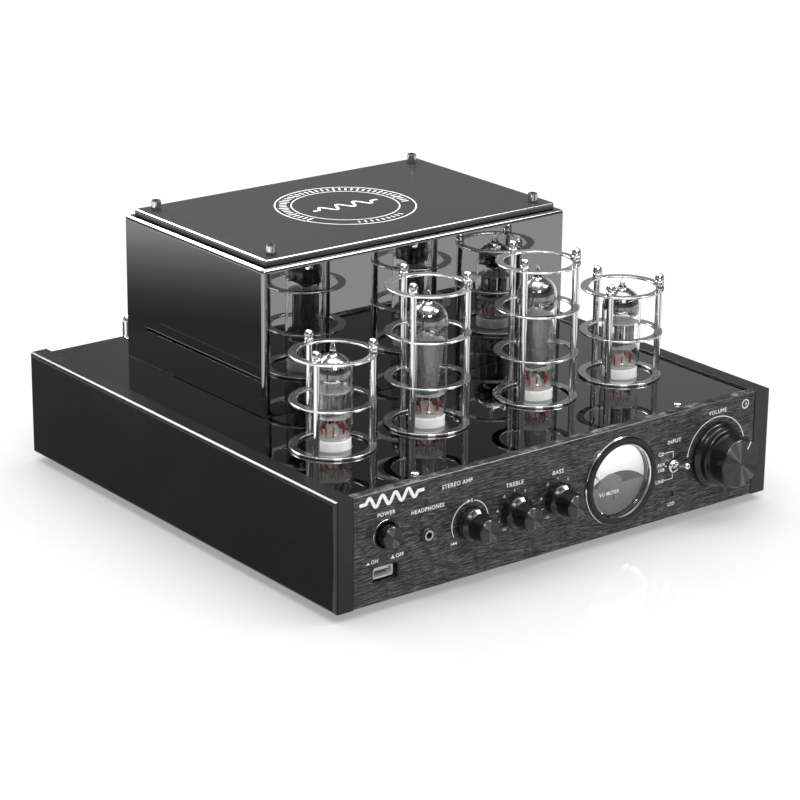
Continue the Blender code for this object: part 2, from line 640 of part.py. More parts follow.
def input_switch():
    """Three-position toggle switch: bushing and nut outside, body behind."""
    bushing, bore = 3 * MM, 2.35 * MM
    place = (INPUT_X, FRONT_Y, CONTROL_Z)
    profile = [(bore, 2.4 * MM), (bushing, 2.4 * MM), (bushing, -8 * MM), (bore, -8 * MM)]
    tube = turned("input_switch", profile, SMALL, CHROME, place, OUT_OF_FRONT, ring=True)
    nut = cylinders("input_nut", [(3.9 * MM, GAP, 1.9 * MM, 0, 0)], SMALL, None, place, OUT_OF_FRONT, True)
    block = boxes("input_block", [((13 * MM, 10 * MM, 12 * MM), (0, 11.4 * MM, 0))], None, place, True)
    bore_tool = cylinders("input_bore", [(bore, -11 * MM, 4 * MM, 0, 0)], SMALL, None, place, OUT_OF_FRONT, True)
    fuse(tube, nut, block)
    return cut(tube, bore_tool)


def input_lever():
    """Bat lever on its ball. Its origin is the ball's centre, on the switch's pivot axis."""
    ball = 1.9 * MM
    profile = [(0, 13.4 * MM)] + arc((0, 11.5 * MM), 1.9 * MM, 60, 0, 3)
    profile += [(1.6 * MM, 7 * MM), (1.15 * MM, 2.6 * MM)] + arc((0, 0), ball, 50, -50, 5)
    profile += [(0.9 * MM, -3 * MM), (0, -3 * MM)]
    place = (INPUT_X, FRONT_Y - 0.4 * MM, CONTROL_Z)
    rotation = Euler((math.pi / 2 - LEVER_TILT, 0, 0))
    return turned("input_lever", profile, SMALL, CHROME, place, rotation)


# ---- level meter --------------------------------------------------------------------------------------------------------
METER_OUTER = 25.8 * MM
METER_BORE = 20.7 * MM
DIAL_DEPTH = -3.6 * MM
NEEDLE_DROP = 11 * MM
NEEDLE_LENGTH = 24 * MM
NEEDLE_REST = math.radians(45)  # the needle rests at the left end of its scale


def meter_bezel():
    section = [
        (METER_BORE + 0.6 * MM, 2.2 * MM), (METER_OUTER - 1.2 * MM, 2.2 * MM), (METER_OUTER, 1 * MM),
        (METER_OUTER, GAP), (23 * MM, GAP), (23 * MM, -8 * MM), (METER_BORE, -8 * MM), (METER_BORE, 1.6 * MM),
    ]
    return turned(
        "meter_bezel", section, FINE, ANODISED, (METER_X, FRONT_Y, CONTROL_Z), OUT_OF_FRONT, ring=True
    )


def meter_housing():
    """Moving-coil movement in its can. The dial is its flat front face."""
    radius = METER_BORE - GAP
    back = -16.8 * MM
    profile = [(0, DIAL_DEPTH), (radius, DIAL_DEPTH), (radius, back), (0, back)]
    place = (METER_X, FRONT_Y, CONTROL_Z)
    can = turned("meter_housing", profile, FINE, DIAL, place, OUT_OF_FRONT)
    pivot_hole = [(1.3 * MM, DIAL_DEPTH - 5 * MM, DIAL_DEPTH + 2 * MM, 0, -NEEDLE_DROP)]
    return cut(can, cylinders("pivot_hole", pivot_hole, SMALL, None, place, OUT_OF_FRONT, True))


def meter_glass():
    radius = METER_BORE - GAP
    crown, rim, back = 1.7 * MM, 0.4 * MM, -0.6 * MM
    profile = [(0, crown), (radius * 0.5, crown - 0.3 * MM), (radius * 0.85, crown - 0.9 * MM), (radius, rim)]
    profile += [(radius, back), (0, back)]
    return turned("meter_glass", profile, FINE, GLASS, (METER_X, FRONT_Y, CONTROL_Z), OUT_OF_FRONT)


def meter_needle():
    """Pointer and its pivot. Its origin is on the pivot axis, below the dial's centre."""
    place = (METER_X, FRONT_Y, CONTROL_Z - NEEDLE_DROP)
    pivot = cylinders(
        "meter_needle", [(0.9 * MM, DIAL_DEPTH - 3 * MM, DIAL_DEPTH + 1.6 * MM, 0, 0)], TINY, PLASTIC, place,
        OUT_OF_FRONT,
    )
    rotation = Euler((math.pi / 2, -NEEDLE_REST, 0), "XYZ")
    height = DIAL_DEPTH + 1 * MM
    pointer = boxes(
        "needle_pointer",
        [((0.5 * MM, NEEDLE_LENGTH + 4 * MM, 0.5 * MM), (0, NEEDLE_LENGTH / 2 - 2 * MM, height))],
        None, place, True,
    )
    pointer.rotation_euler = rotation
    return fuse(pivot, pointer)


# ---- rear connections -------------------------------------------------------------------------------------------------
INLET_X, INLET_Z = -116 * MM, BASE_Z + 26 * MM
JACKS_X = -2 * MM
TERMINALS_X = 92 * MM
TERMINAL_OFFSETS = (-31 * MM, -12 * MM, 12 * MM, 31 * MM)
ANTENNA_X, ANTENNA_Z = -77.5 * MM, BASE_Z + 40 * MM
ANTENNA_TOP_Z = BASE_Z + 68.7 * MM
TERMINAL_NAMES = ("right_negative", "right_positive", "left_negative", "left_positive")


def ac_inlet():
    """Mains appliance inlet: flange outside the panel, shroud behind it, three blades inside."""
    place = (INLET_X, REAR_FACE_Y, INLET_Z)
    flange = boxes(
        "ac_inlet", [((46 * MM, 3 * MM, 28 * MM), (0, 1.8 * MM, 0))], PLASTIC, place,
        round_edges=[(along_y, 3 * MM, 3)],
    )
    shroud = boxes("inlet_shroud", [((28 * MM, 21 * MM, 20 * MM), (0, -9 * MM, 0))], None, place, True)
    hollow = boxes("inlet_hollow", [((24.5 * MM, 30 * MM, 16.8 * MM), (0, -2 * MM, 0))], None, place, True)
    blades = [((2 * MM, 14 * MM, 4 * MM), (x, -12.5 * MM, z)) for x, z in INLET_BLADES]
    fuse(flange, shroud)
    cut(flange, hollow)
    return fuse(flange, boxes("inlet_blades", blades, None, place, True))


INLET_BLADES = ((-7 * MM, -2 * MM), (0, 2 * MM), (7 * MM, -2 * MM))


def line_jacks():
    """Six phono sockets, three pairs, on one moulding."""
    place = (JACKS_X, REAR_FACE_Y, CONTROL_Z)
    plate = boxes("line_jacks", [((78 * MM, 2 * MM, 36 * MM), (0, 1.3 * MM, 0))], PLASTIC, place)
    block = boxes("jack_moulding", [((70 * MM, 14 * MM, 28 * MM), (0, -6 * MM, 0))], None, place, True)
    centres = [(x * MM, z * MM) for x in (-25, 0, 25) for z in (-9, 9)]
    sleeves = [(4.1 * MM, 1 * MM, 11 * MM, x, -z) for x, z in centres]
    bores = [(1.7 * MM, -6 * MM, 14 * MM, x, -z) for x, z in centres]
    fuse(plate, block, cylinders("jack_sleeves", sleeves, SMALL, None, place, OUT_OF_REAR, True))
    return cut(plate, cylinders("jack_bores", bores, TINY, None, place, OUT_OF_REAR, True))


def speaker_terminals():
    """Insulating strip with four threaded posts and their collars."""
    place = (TERMINALS_X, REAR_FACE_Y, CONTROL_Z)
    strip = boxes("speaker_terminals", [((84 * MM, 3 * MM, 20 * MM), (0, 1.8 * MM, 0))], PLASTIC, place)
    block = boxes("terminal_block", [((76 * MM, 8 * MM, 10 * MM), (0, -3 * MM, 0))], None, place, True)
    collars = [(5 * MM, 2 * MM, 7.5 * MM, x, 0) for x in TERMINAL_OFFSETS]
    posts = [(1.9 * MM, 6 * MM, 17.5 * MM, x, 0) for x in TERMINAL_OFFSETS]
    return fuse(
        strip,
        block,
        cylinders("terminal_collars", collars, SMALL, None, place, OUT_OF_REAR, True),
        cylinders("terminal_posts", posts, TINY, None, place, OUT_OF_REAR, True),
    )


def terminal_cap(name, offset):
    """Screw cap of one speaker terminal, bored right through for a 4 mm plug."""
    end = REAR_Y + KNOB_REACH - REAR_FACE_Y
    base, radius, bore = 9.5 * MM, 5.8 * MM, 2.25 * MM
    section = [(radius - 0.6 * MM, end), (radius, end - 0.6 * MM), (radius, base), (bore, base), (bore, end)]
    place = (TERMINALS_X + offset, REAR_FACE_Y, CONTROL_Z)
    return turned(name, section, SMALL, PLASTIC, place, OUT_OF_REAR, ring=True)


def antenna():
    """Short plated antenna on a right-angle connector. Its origin is on the connector's axis."""
    place = (ANTENNA_X, REAR_FACE_Y, ANTENNA_Z)
    stub_y = 14 * MM
    height = ANTENNA_TOP_Z - ANTENNA_Z
    barrel = turned(
        "antenna",
        [(0, stub_y), (3.8 * MM, stub_y), (3.8 * MM, GAP), (2.9 * MM, GAP), (2.9 * MM, -6 * MM), (0, -6 * MM)],
        SMALL, CHROME, place, OUT_OF_REAR,
    )
    radius = 4.2 * MM
    profile = [(0, height)] + arc((0, height - radius), radius, 70, 0, 5) + [(radius, -6 * MM), (0, -6 * MM)]
    stub = turned("antenna_stub", profile, SMALL, None, Vector(place) + Vector((0, stub_y, 0)), helper=True)
    return fuse(barrel, stub)


# ---- the amplifier ----------------------------------------------------------------------------------------------------
def build_casing():
    side_panel("side_panel_left", -1)
    side_panel("side_panel_right", 1)
    front_panel()
    deck_plate()
    bottom_plate()
    rear_panel()
    transformer_cover()
    cover_lid()
    for name, x, y in cover_screw_places():
        cover_screw("cover_screw_" + name, x, y)
    for end, y in (("front", -112 * MM), ("rear", 112 * MM)):
        for side, x in (("left", -118 * MM), ("right", 118 * MM)):
            foot(f"foot_{end}_{side}", x, y)


def build_tubes():
    for name, x, tall in tube_places():
        tube_socket("tube_socket_" + name, x)
        tube_envelope("tube_envelope_" + name, x, tall)
        tube_electrodes("tube_electrodes_" + name, x, tall)
        tube_guard("tube_guard_" + name, x, tall)


def build_insides():
    transformer("power_transformer", 0, (80 * MM, 34 * MM, 68 * MM), (52 * MM, 66 * MM, 42 * MM))
    small_core, small_coil = (42 * MM, 26 * MM, 48 * MM), (27 * MM, 46 * MM, 30 * MM)
    transformer("output_transformer_left", -75 * MM, small_core, small_coil)
    transformer("output_transformer_right", 75 * MM, small_core, small_coil)
    main_board()
    wireless_board()
    control_board()


def build_controls():
    power_switch()
    power_button()
    headphone_jack()
    status_led()
    for name, x in (("track_knob", TRACK_X), ("treble_knob", TREBLE_X), ("bass_knob", BASS_X)):
        small_knob(name, x)
    volume_knob()
    input_switch()
    input_lever()
    meter_bezel()
    meter_housing()
    meter_glass()
    meter_needle()


def build_rear():
    ac_inlet()
    line_jacks()
    speaker_terminals()
    for name, offset in zip(TERMINAL_NAMES, TERMINAL_OFFSETS):
        terminal_cap("terminal_cap_" + name, offset)
    antenna()


build_casing()
build_tubes()
build_insides()
build_controls()
build_rear()
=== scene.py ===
"""A valve (tube) amplifier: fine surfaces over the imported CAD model, in metres, +Z up, front facing -Y."""

import json
import math

import bmesh
import bpy
from mathutils import Matrix, Vector


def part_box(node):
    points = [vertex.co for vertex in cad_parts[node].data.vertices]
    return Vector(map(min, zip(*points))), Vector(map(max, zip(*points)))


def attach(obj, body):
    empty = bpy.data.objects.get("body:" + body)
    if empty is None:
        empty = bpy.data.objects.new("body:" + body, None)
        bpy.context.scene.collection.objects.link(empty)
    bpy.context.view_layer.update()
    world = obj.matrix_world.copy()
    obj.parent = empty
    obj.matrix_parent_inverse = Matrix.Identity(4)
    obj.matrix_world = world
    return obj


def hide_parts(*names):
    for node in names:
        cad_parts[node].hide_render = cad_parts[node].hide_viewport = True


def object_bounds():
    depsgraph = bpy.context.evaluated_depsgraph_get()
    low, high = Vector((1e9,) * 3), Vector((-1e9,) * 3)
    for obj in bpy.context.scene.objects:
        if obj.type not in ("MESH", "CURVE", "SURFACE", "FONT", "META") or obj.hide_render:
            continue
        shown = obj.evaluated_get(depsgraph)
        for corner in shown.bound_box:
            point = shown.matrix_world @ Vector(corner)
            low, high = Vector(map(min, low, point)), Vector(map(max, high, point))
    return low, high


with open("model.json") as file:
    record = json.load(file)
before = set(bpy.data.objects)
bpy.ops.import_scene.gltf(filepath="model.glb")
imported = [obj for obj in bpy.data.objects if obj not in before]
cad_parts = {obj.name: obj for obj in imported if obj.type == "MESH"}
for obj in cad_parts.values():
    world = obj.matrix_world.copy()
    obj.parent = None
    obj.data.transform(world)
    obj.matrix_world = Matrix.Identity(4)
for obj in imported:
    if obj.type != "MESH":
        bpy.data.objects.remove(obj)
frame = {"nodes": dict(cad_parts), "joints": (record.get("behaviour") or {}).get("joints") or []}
CAD_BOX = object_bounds()
MM = 0.001
UP = Vector((0, 0, 1))
PINS = 9  # under each tube
ON_AXIS = 1e-7  # a radius below this is a point on the axis
TAU = 2 * math.pi

# ---- places, from the CAD ----
PANEL_LOW, PANEL_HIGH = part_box("front_panel")
FRONT_Y = PANEL_LOW.y
DECK_LOW, DECK_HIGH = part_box("deck_plate")
DECK_Z = DECK_HIGH.z
BASE_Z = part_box("side_panel_left")[0].z
REAR_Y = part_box("rear_panel")[1].y
USB_Z = BASE_Z + 16 * MM


def centre(node):
    low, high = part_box(node)
    return (low + high) / 2


def pivot_of(joint):
    return Vector(next(j for j in frame["joints"] if j["name"] == joint)["pos_m"])


CONTROL_Z = centre("meter_bezel").z
TUBES = {
    name: (centre("tube_socket_" + name), "inner" in name)
    for name in ("outer_left", "inner_left", "inner_right", "outer_right")
}

FROM_FRONT = Matrix.Rotation(math.pi / 2, 4, "X")  # local x right, y up, z out of the front panel
FROM_REAR = Matrix.Rotation(math.pi, 4, "Z") @ FROM_FRONT  # the same for the rear panel, seen from behind

moved = Matrix.Translation


def on_front(x, z):
    return moved((x, FRONT_Y, z)) @ FROM_FRONT


def on_rear(x, z):
    return moved((x, REAR_Y, z)) @ FROM_REAR


# ---- materials ----
def rgba(colour):
    """An opaque colour, from (red, green, blue) or from one number for a grey."""
    return (*colour, 1) if isinstance(colour, tuple) else (colour, colour, colour, 1)


def fill_ramp(ramp, stops):
    """Gives a colour ramp these (place, colour) stops, from its lower end to its upper end."""
    for _ in stops[2:]:
        ramp.elements.new(0.5)
    for element, (place, _) in reversed(list(zip(ramp.elements, stops))):
        element.position = place
    for element, (_, colour) in zip(ramp.elements, stops):
        element.color = rgba(colour)


def add_node(tree, kind, inputs, settings):
    """Adds a shader node. Each input is another node's output, or a value."""
    made = tree.nodes.new("ShaderNode" + kind)
    for key, value in settings.items():
        setattr(made, key, value)
    for key, value in inputs.items():
        if isinstance(value, bpy.types.NodeSocket):
            tree.links.new(value, made.inputs[key])
        else:
            made.inputs[key].default_value = value
    return made


class Look:
    """A material under construction: a Principled shader and the nodes that feed it."""

    def __init__(self, name, colour=0.5, roughness=0.5, metallic=0.0, **sockets):
        self.material = bpy.data.materials.new(name)
        self.material.use_nodes = True
        self.tree = self.material.node_tree
        self.shader = self.tree.nodes["Principled BSDF"]
        self.set("Base Color", rgba(colour))
        self.set("Roughness", roughness)
        self.set("Metallic", metallic)
        for socket, value in sockets.items():
            self.set(socket.replace("_", " "), value)

    def set(self, socket, value):
        self.shader.inputs[socket].default_value = value

    def node(self, kind, inputs=None, **settings):
        return add_node(self.tree, kind, inputs or {}, settings)

    def feed(self, socket, output):
        self.tree.links.new(output, self.shader.inputs[socket])

    def coordinates(self, scale=(1, 1, 1)):
        place = self.node("TexCoord").outputs["Object"]
        return self.node("Mapping", {"Vector": place, "Scale": scale}).outputs[0]

    def noise(self, scale, stretch=(1, 1, 1), detail=3.0, roughness=0.5):
        vector = self.coordinates(stretch)
        inputs = {"Vector": vector, "Scale": scale, "Detail": detail, "Roughness": roughness}
        return self.node("TexNoise", inputs).outputs["Fac"]

    def between(self, value, low, high, start=0.0, end=1.0):
        """value, from start to end, mapped to low to high."""
        inputs = {"Value": value, "From Min": start, "From Max": end, "To Min": low, "To Max": high}
        return self.node("MapRange", inputs).outputs[0]

    def colours(self, value, *stops):
        """A colour ramp of (position, (r, g, b)) stops."""
        ramp = self.node("ValToRGB", {"Fac": value})
        fill_ramp(ramp.color_ramp, stops)
        return ramp.outputs[0]

    def bump(self, height, strength, distance):
        inputs = {"Height": height, "Strength": strength, "Distance": distance}
        self.feed("Normal", self.node("Bump", inputs).outputs[0])

    def turned_finish(self):
        """Fine rings about the piece's own Z axis, which stretch highlights into a bow tie."""
        tangent = self.node("Tangent", direction_type="RADIAL", axis="Z")
        self.feed("Tangent", tangent.outputs[0])


def smudged(look, low, high, scale=90.0):
    """Roughness that drifts a little, as on a handled surface."""
    look.feed("Roughness", look.between(look.noise(scale, detail=4), low, high, 0.3, 0.7))
    return look


def mirror_black():
    look = Look("mirror_black", (0.285, 0.285, 0.29), 0.03, 1.0)
    return smudged(look, 0.004, 0.02, 30).material


def side_black():
    look = Look("side_black", (0.008, 0.008, 0.0082), 0.2, 0.0)
    look.set("Specular IOR Level", 0.6)
    grain = look.noise(420, (1, 0.3, 1), 3)
    look.feed("Base Color", look.colours(grain, (0.3, (0.006, 0.006, 0.0062)), (0.7, (0.010, 0.010, 0.0102))))
    return smudged(look, 0.18, 0.22, 25).material


def satin_lid():
    look = Look("satin_lid", 0.07, 0.42, 0.0)
    grain = look.noise(900, detail=2)
    look.feed("Base Color", look.colours(grain, (0.3, (0.020, 0.020, 0.0204)), (0.7, (0.029, 0.029, 0.0295))))
    smudged(look, 0.20, 0.27, 60)
    look.bump(grain, 0.05, 0.0003)
    return look.material


def brushed_black():
    """Black anodised aluminium, brushed from side to side."""
    look = Look("brushed_black", 0.04, 0.36, 0.55)
    long = look.noise(1.0, (120, 120, 4200), 4, 0.75)
    fine = look.noise(1.0, (240, 240, 7200), 2, 0.6)
    both = look.node("Mix", {"Factor": 0.4, "A": long, "B": fine}, data_type="FLOAT").outputs[0]
    look.feed(
        "Base Color",
        look.colours(both, (0.40, (0.010, 0.010, 0.0105)), (0.51, (0.040, 0.040, 0.041)), (0.61, 0.28)),
    )
    look.feed("Roughness", look.between(both, 0.46, 0.3, 0.35, 0.65))
    look.bump(both, 0.25, 0.0002)
    return look.material


def chrome():
    look = Look("chrome", (0.88, 0.88, 0.89), 0.02, 1.0)
    return smudged(look, 0.02, 0.07, 160).material


def ring_chrome():
    """Plated flat rings, satin on their faces."""
    look = Look("ring_chrome", 0.86, 0.26, 1.0)
    return smudged(look, 0.13, 0.19, 260).material


def knob_black():
    look = Look("knob_black", 0.005, 0.2, 0.0)
    rings = look.noise(1.0, (60, 60, 5200), 2)
    look.feed("Roughness", look.between(rings, 0.14, 0.24, 0.3, 0.7))
    look.bump(rings, 0.05, 0.0002)
    return look.material


def spun_black():
    """A knob's turned face."""
    look = Look("spun_black", 0.10, 0.3, 1.0, Anisotropic=0.95, Anisotropic_Rotation=0.25)
    distance = look.node("VectorMath", {0: look.coordinates((1, 1, 0))}, operation="LENGTH").outputs["Value"]
    rings = look.node("TexNoise", {"W": distance, "Scale": 5200.0, "Detail": 2.0}, noise_dimensions="1D").outputs[0]
    look.feed("Base Color", look.colours(rings, (0.3, 0.08), (0.7, 0.19)))
    look.feed("Roughness", look.between(rings, 0.44, 0.54, 0.3, 0.7))
    look.turned_finish()
    return look.material


def glass(name):
    look = Look(name, 1.0, 0.0, IOR=1.47, Transmission_Weight=1.0)
    return smudged(look, 0.0, 0.012, 40).material


def getter_silver():
    """The silver film inside a tube's top, brownish and darker in patches."""
    look = Look("getter_silver", (0.85, 0.85, 0.86), 0.05, 1.0)
    patch = look.noise(120, detail=3)
    look.feed("Base Color", look.colours(patch, (0.35, (0.09, 0.088, 0.086)), (0.6, (0.22, 0.22, 0.225))))
    look.feed("Roughness", look.between(patch, 0.03, 0.12, 0.3, 0.7))
    return look.material


def anode_grey():
    look = Look("anode_grey", 0.2, 0.45, 0.7)
    grain = look.noise(700, (1, 1, 0.3), 3)
    look.feed("Base Color", look.colours(grain, (0.3, (0.16, 0.16, 0.165)), (0.7, (0.26, 0.26, 0.27))))
    smudged(look, 0.38, 0.52, 300)
    return look.material


def speckled(name, dark, light, roughness, scale=400.0, **sockets):
    """A plain moulded, painted or fired material with a fine variation in its colour."""
    look = Look(name, light, roughness, **sockets)
    grain = look.noise(scale, detail=3)
    look.feed("Base Color", look.colours(grain, (0.32, dark), (0.68, light)))
    smudged(look, roughness * 0.85, roughness * 1.15)
    return look.material


def dial_painted_glow():
    """The meter's printed dial, glowing from behind, with painted light and shade: white above, greyer towards its
    lower edge.
    """
    look = Look("dial_painted_glow", 0.8, 0.5)
    place = look.node("SeparateXYZ", {0: look.coordinates()})
    # Painted light and shade: the colour and the glow both run from grey at the dial's lower edge to white at its
    # top.
    height = look.between(place.outputs["Y"], 0, 1, -0.016, 0.014)
    paper = look.between(look.noise(900, detail=2), -0.02, 0.02)
    height = look.node("Math", {0: height, 1: paper}, operation="ADD").outputs[0]
    look.feed("Base Color", look.colours(height, (0.0, 0.30), (1.0, 0.80)))
    look.feed("Emission Color", look.colours(height, (0.0, 0.06), (0.5, 0.30), (1.0, 0.75)))
    look.set("Emission Strength", 1.0)
    return look.material


MIRROR_BLACK = mirror_black()
SIDE_BLACK = side_black()
SATIN_LID = satin_lid()
BRUSHED_BLACK = brushed_black()
CHROME = chrome()
RING_CHROME = ring_chrome()
EDGE_METAL = speckled("edge_metal", (0.07, 0.07, 0.071), (0.11, 0.11, 0.111), 0.34, 600, Metallic=1.0)
NUT_CHROME = speckled("nut_chrome", (0.52, 0.52, 0.53), (0.60, 0.60, 0.61), 0.06, 300, Metallic=1.0)
KNOB_BLACK = knob_black()
SPUN_BLACK = spun_black()
TUBE_GLASS = glass("tube_glass")
METER_GLASS = glass("meter_glass")
GETTER = getter_silver()
ANODE = anode_grey()
DIAL_PAINTED_GLOW = dial_painted_glow()
CERAMIC = speckled("ceramic", (0.90, 0.90, 0.89), (0.97, 0.97, 0.965), 0.22, 300)
MICA = speckled("mica", (0.70, 0.70, 0.68), (0.90, 0.90, 0.88), 0.25, 500)
LEAD_RED = speckled("lead_red", (0.42, 0.015, 0.03), (0.75, 0.05, 0.09), 0.3, 900)
PRINT_LIT = speckled("print_lit", 0.7, 0.85, 0.5, 900, Emission_Color=(1, 1, 1, 1), Emission_Strength=0.45)
PRINT = speckled("print_white", 0.68, 0.85, 0.5, 900)
DIAL_GREY = speckled("dial_grey", (0.20, 0.20, 0.205), (0.26, 0.26, 0.265), 0.5, 900)
DIAL_DARK = speckled("dial_dark", 0.06, 0.08, 0.5, 900)
PRINT_RED = speckled("print_red", (0.45, 0.02, 0.02), (0.6, 0.04, 0.04), 0.5, 900)
BLACK_PLASTIC = speckled("black_plastic", 0.012, 0.022, 0.4, 600)
RED_PLASTIC = speckled("red_plastic", (0.30, 0.012, 0.012), (0.42, 0.02, 0.02), 0.3, 600)
RUBBER = speckled("rubber", 0.012, 0.024, 0.75, 700)
SHEET_BLACK = speckled("sheet_black", 0.02, 0.032, 0.45, 900)
SHELL_STEEL = speckled("shell_steel", 0.82, 0.94, 0.38, 500, Metallic=0.6)
NICKEL = speckled("nickel", (0.60, 0.59, 0.57), (0.74, 0.73, 0.71), 0.22, 500, Metallic=1.0)
BRASS = speckled("brass", (0.62, 0.44, 0.16), (0.78, 0.58, 0.25), 0.2, 500, Metallic=1.0)
CORE_STEEL = speckled("core_steel", (0.07, 0.07, 0.075), (0.13, 0.13, 0.135), 0.5, 300, Metallic=0.7)
BOARD_GREEN = speckled("board_green", (0.01, 0.09, 0.03), (0.02, 0.14, 0.05), 0.35, 300)


# ---- mesh tools ----
def mm(points):
    """Pairs in millimetres, as metres."""
    return [(a * MM, b * MM) for a, b in points]


def round_corners(points, radius, steps=4, closed=False):
    """A profile with its corners rounded by radius, one number or one for each point. An open one keeps its ends."""
    count = len(points)
    radii = radius if isinstance(radius, (list, tuple)) else [radius] * count
    made = []
    for i, point in enumerate(points):
        if radii[i] <= 0 or (not closed and i in (0, count - 1)):
            made.append(tuple(point))
            continue
        here = Vector(point)
        before, after = Vector(points[i - 1]) - here, Vector(points[(i + 1) % count]) - here
        reach = min(radii[i], before.length * 0.48, after.length * 0.48)
        start, end = here + before.normalized() * reach, here + after.normalized() * reach
        for k in range(steps + 1):
            t = k / steps
            made.append(tuple(start * (1 - t) ** 2 + here * 2 * t * (1 - t) + end * t * t))
    return made


def circle(radius, z, steps):
    """Points round the Z axis at this height."""
    angles = [TAU * i / steps for i in range(steps)]
    return [Vector((radius * math.cos(a), radius * math.sin(a), z)) for a in angles]


def skin(bm, rings, index=0, closed=False):
    """Adds the surface through rings of vertices; closed joins the last to the first. A ring may be one point."""
    steps = max(len(ring) for ring in rings)
    for top, bottom in zip(rings, rings[1:] + rings[: 1 if closed else 0]):
        for i in range(steps):
            j = (i + 1) % steps
            corners = [top[i % len(top)], bottom[i % len(bottom)], bottom[j % len(bottom)], top[j % len(top)]]
            kept = list(dict.fromkeys(corners))
            if len(kept) > 2:
                bm.faces.new(kept).material_index = index


def turn(bm, profile, steps=48, matrix=None, index=0, closed=False):
    """Adds a surface turned about Z. profile is (radius, height) points, down the outside; closed joins its ends."""
    matrix = matrix or Matrix()
    rings = []
    for radius, height in profile:
        points = circle(radius, height, steps if radius > ON_AXIS else 1)
        rings.append([bm.verts.new(matrix @ p) for p in points])
    skin(bm, rings, index, closed)


def block(bm, size, middle=(0, 0, 0), radius=0.0, segments=2, matrix=None, index=0, only=None):
    """Adds a box with rounded edges. only takes an edge's two ends and says whether to round it."""
    matrix = matrix or Matrix()
    made = bmesh.ops.create_cube(bm, size=1, matrix=Matrix.Diagonal((*size, 1)))
    verts = made["verts"]
    faces = [f for v in verts for f in v.link_faces]
    if radius:
        edges = dict.fromkeys(e for v in verts for e in v.link_edges)
        chosen = [e for e in edges if only is None or only(e.verts[0].co, e.verts[1].co)]
        bevelled = bmesh.ops.bevel(
            bm, geom=chosen, offset=radius, segments=segments, profile=0.5, affect="EDGES", clamp_overlap=True
        )
        faces += bevelled["faces"]
    faces = [f for f in dict.fromkeys(faces) if f.is_valid]
    for face in faces:
        face.material_index = index
    corners = list(dict.fromkeys(v for f in faces for v in f.verts))
    bmesh.ops.transform(bm, matrix=matrix @ moved(middle), verts=corners)


def block_mm(bm, size, middle=(0, 0, 0), radius=0.0, segments=2, matrix=None, index=0, only=None):
    """block, with its lengths in millimetres."""
    block(bm, [a * MM for a in size], [a * MM for a in middle], radius * MM, segments, matrix, index, only)


def tube(bm, points, radius, steps=8, index=0):
    """Adds a round wire along points."""
    points = [Vector(p) for p in points]
    rings = []
    for i, point in enumerate(points):
        ahead = points[min(i + 1, len(points) - 1)] - points[max(i - 1, 0)]
        turn_to = ahead.to_track_quat("Z", "Y").to_matrix()
        rings.append([bm.verts.new(point + turn_to @ v) for v in circle(radius, 0, steps)])
    skin(bm, rings, index)
    bm.faces.new(list(reversed(rings[0]))).material_index = index
    bm.faces.new(rings[-1]).material_index = index


def prism(bm, outline, low, high, matrix=None, index=0):
    """Adds a solid with this outline of (x, y) points, counter-clockwise, from low to high."""
    matrix = matrix or Matrix()
    bottom = [bm.verts.new(matrix @ Vector((x, y, low))) for x, y in outline]
    top = [bm.verts.new(matrix @ Vector((x, y, high))) for x, y in outline]
    faces = [bm.faces.new(top), bm.faces.new(list(reversed(bottom)))]
    for i in range(len(outline)):
        j = (i + 1) % len(outline)
        faces.append(bm.faces.new((bottom[i], bottom[j], top[j], top[i])))
    for face in faces:
        face.material_index = index


def mesh_of(bm, name):
    bmesh.ops.recalc_face_normals(bm, faces=bm.faces)
    mesh = bpy.data.meshes.new(name)
    bm.to_mesh(mesh)
    bm.free()
    return mesh


def keep_faces_flat(made):
    """Lets large faces keep their own normals, so that only the rounded edges between them shade smoothly."""
    flat = made.modifiers.new("flat_faces", "WEIGHTED_NORMAL")
    flat.keep_sharp = True


def piece(name, bm, looks, body, replaces=(), matrix=None, sharp=35):
    """Makes an object of the mesh, on its body. looks is a material or a list in the order of the indices."""
    mesh = mesh_of(bm, name)
    for look in looks if isinstance(looks, (list, tuple)) else [looks]:
        mesh.materials.append(look)
    mesh.shade_smooth()
    mesh.set_sharp_from_angle(angle=math.radians(sharp))
    made = bpy.data.objects.new(name, mesh)
    bpy.context.scene.collection.objects.link(made)
    if sharp < 50:
        keep_faces_flat(made)
    if matrix:
        made.matrix_world = matrix
    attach(made, body)
    if replaces:
        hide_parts(*replaces)
    return made


def cut(target, build):
    """Cuts the shape that build fills a bmesh with out of a finished piece, for good."""
    bm = bmesh.new()
    build(bm)
    cutter = bpy.data.objects.new("cutter", mesh_of(bm, "cutter"))
    bpy.context.scene.collection.objects.link(cutter)
    boolean = target.modifiers.new("cut", "BOOLEAN")
    boolean.solver = "EXACT"
    boolean.object = cutter
    bpy.context.view_layer.update()
    graph = bpy.context.evaluated_depsgraph_get()
    mesh = bpy.data.meshes.new_from_object(target.evaluated_get(graph))
    target.modifiers.clear()
    target.data = mesh
    mesh.shade_smooth()
    mesh.set_sharp_from_angle(angle=math.radians(35))
    bpy.data.objects.remove(cutter)
    keep_faces_flat(target)


def keep(node, look):
    """Gives a CAD node that stays visible a better material."""
    slots = frame["nodes"][node].material_slots
    if not slots:
        frame["nodes"][node].data.materials.append(look)
    for entry in slots:
        entry.material = look


def along(axis, a, b):
    return abs((a - b)[axis]) > 0.9 * (a - b).length


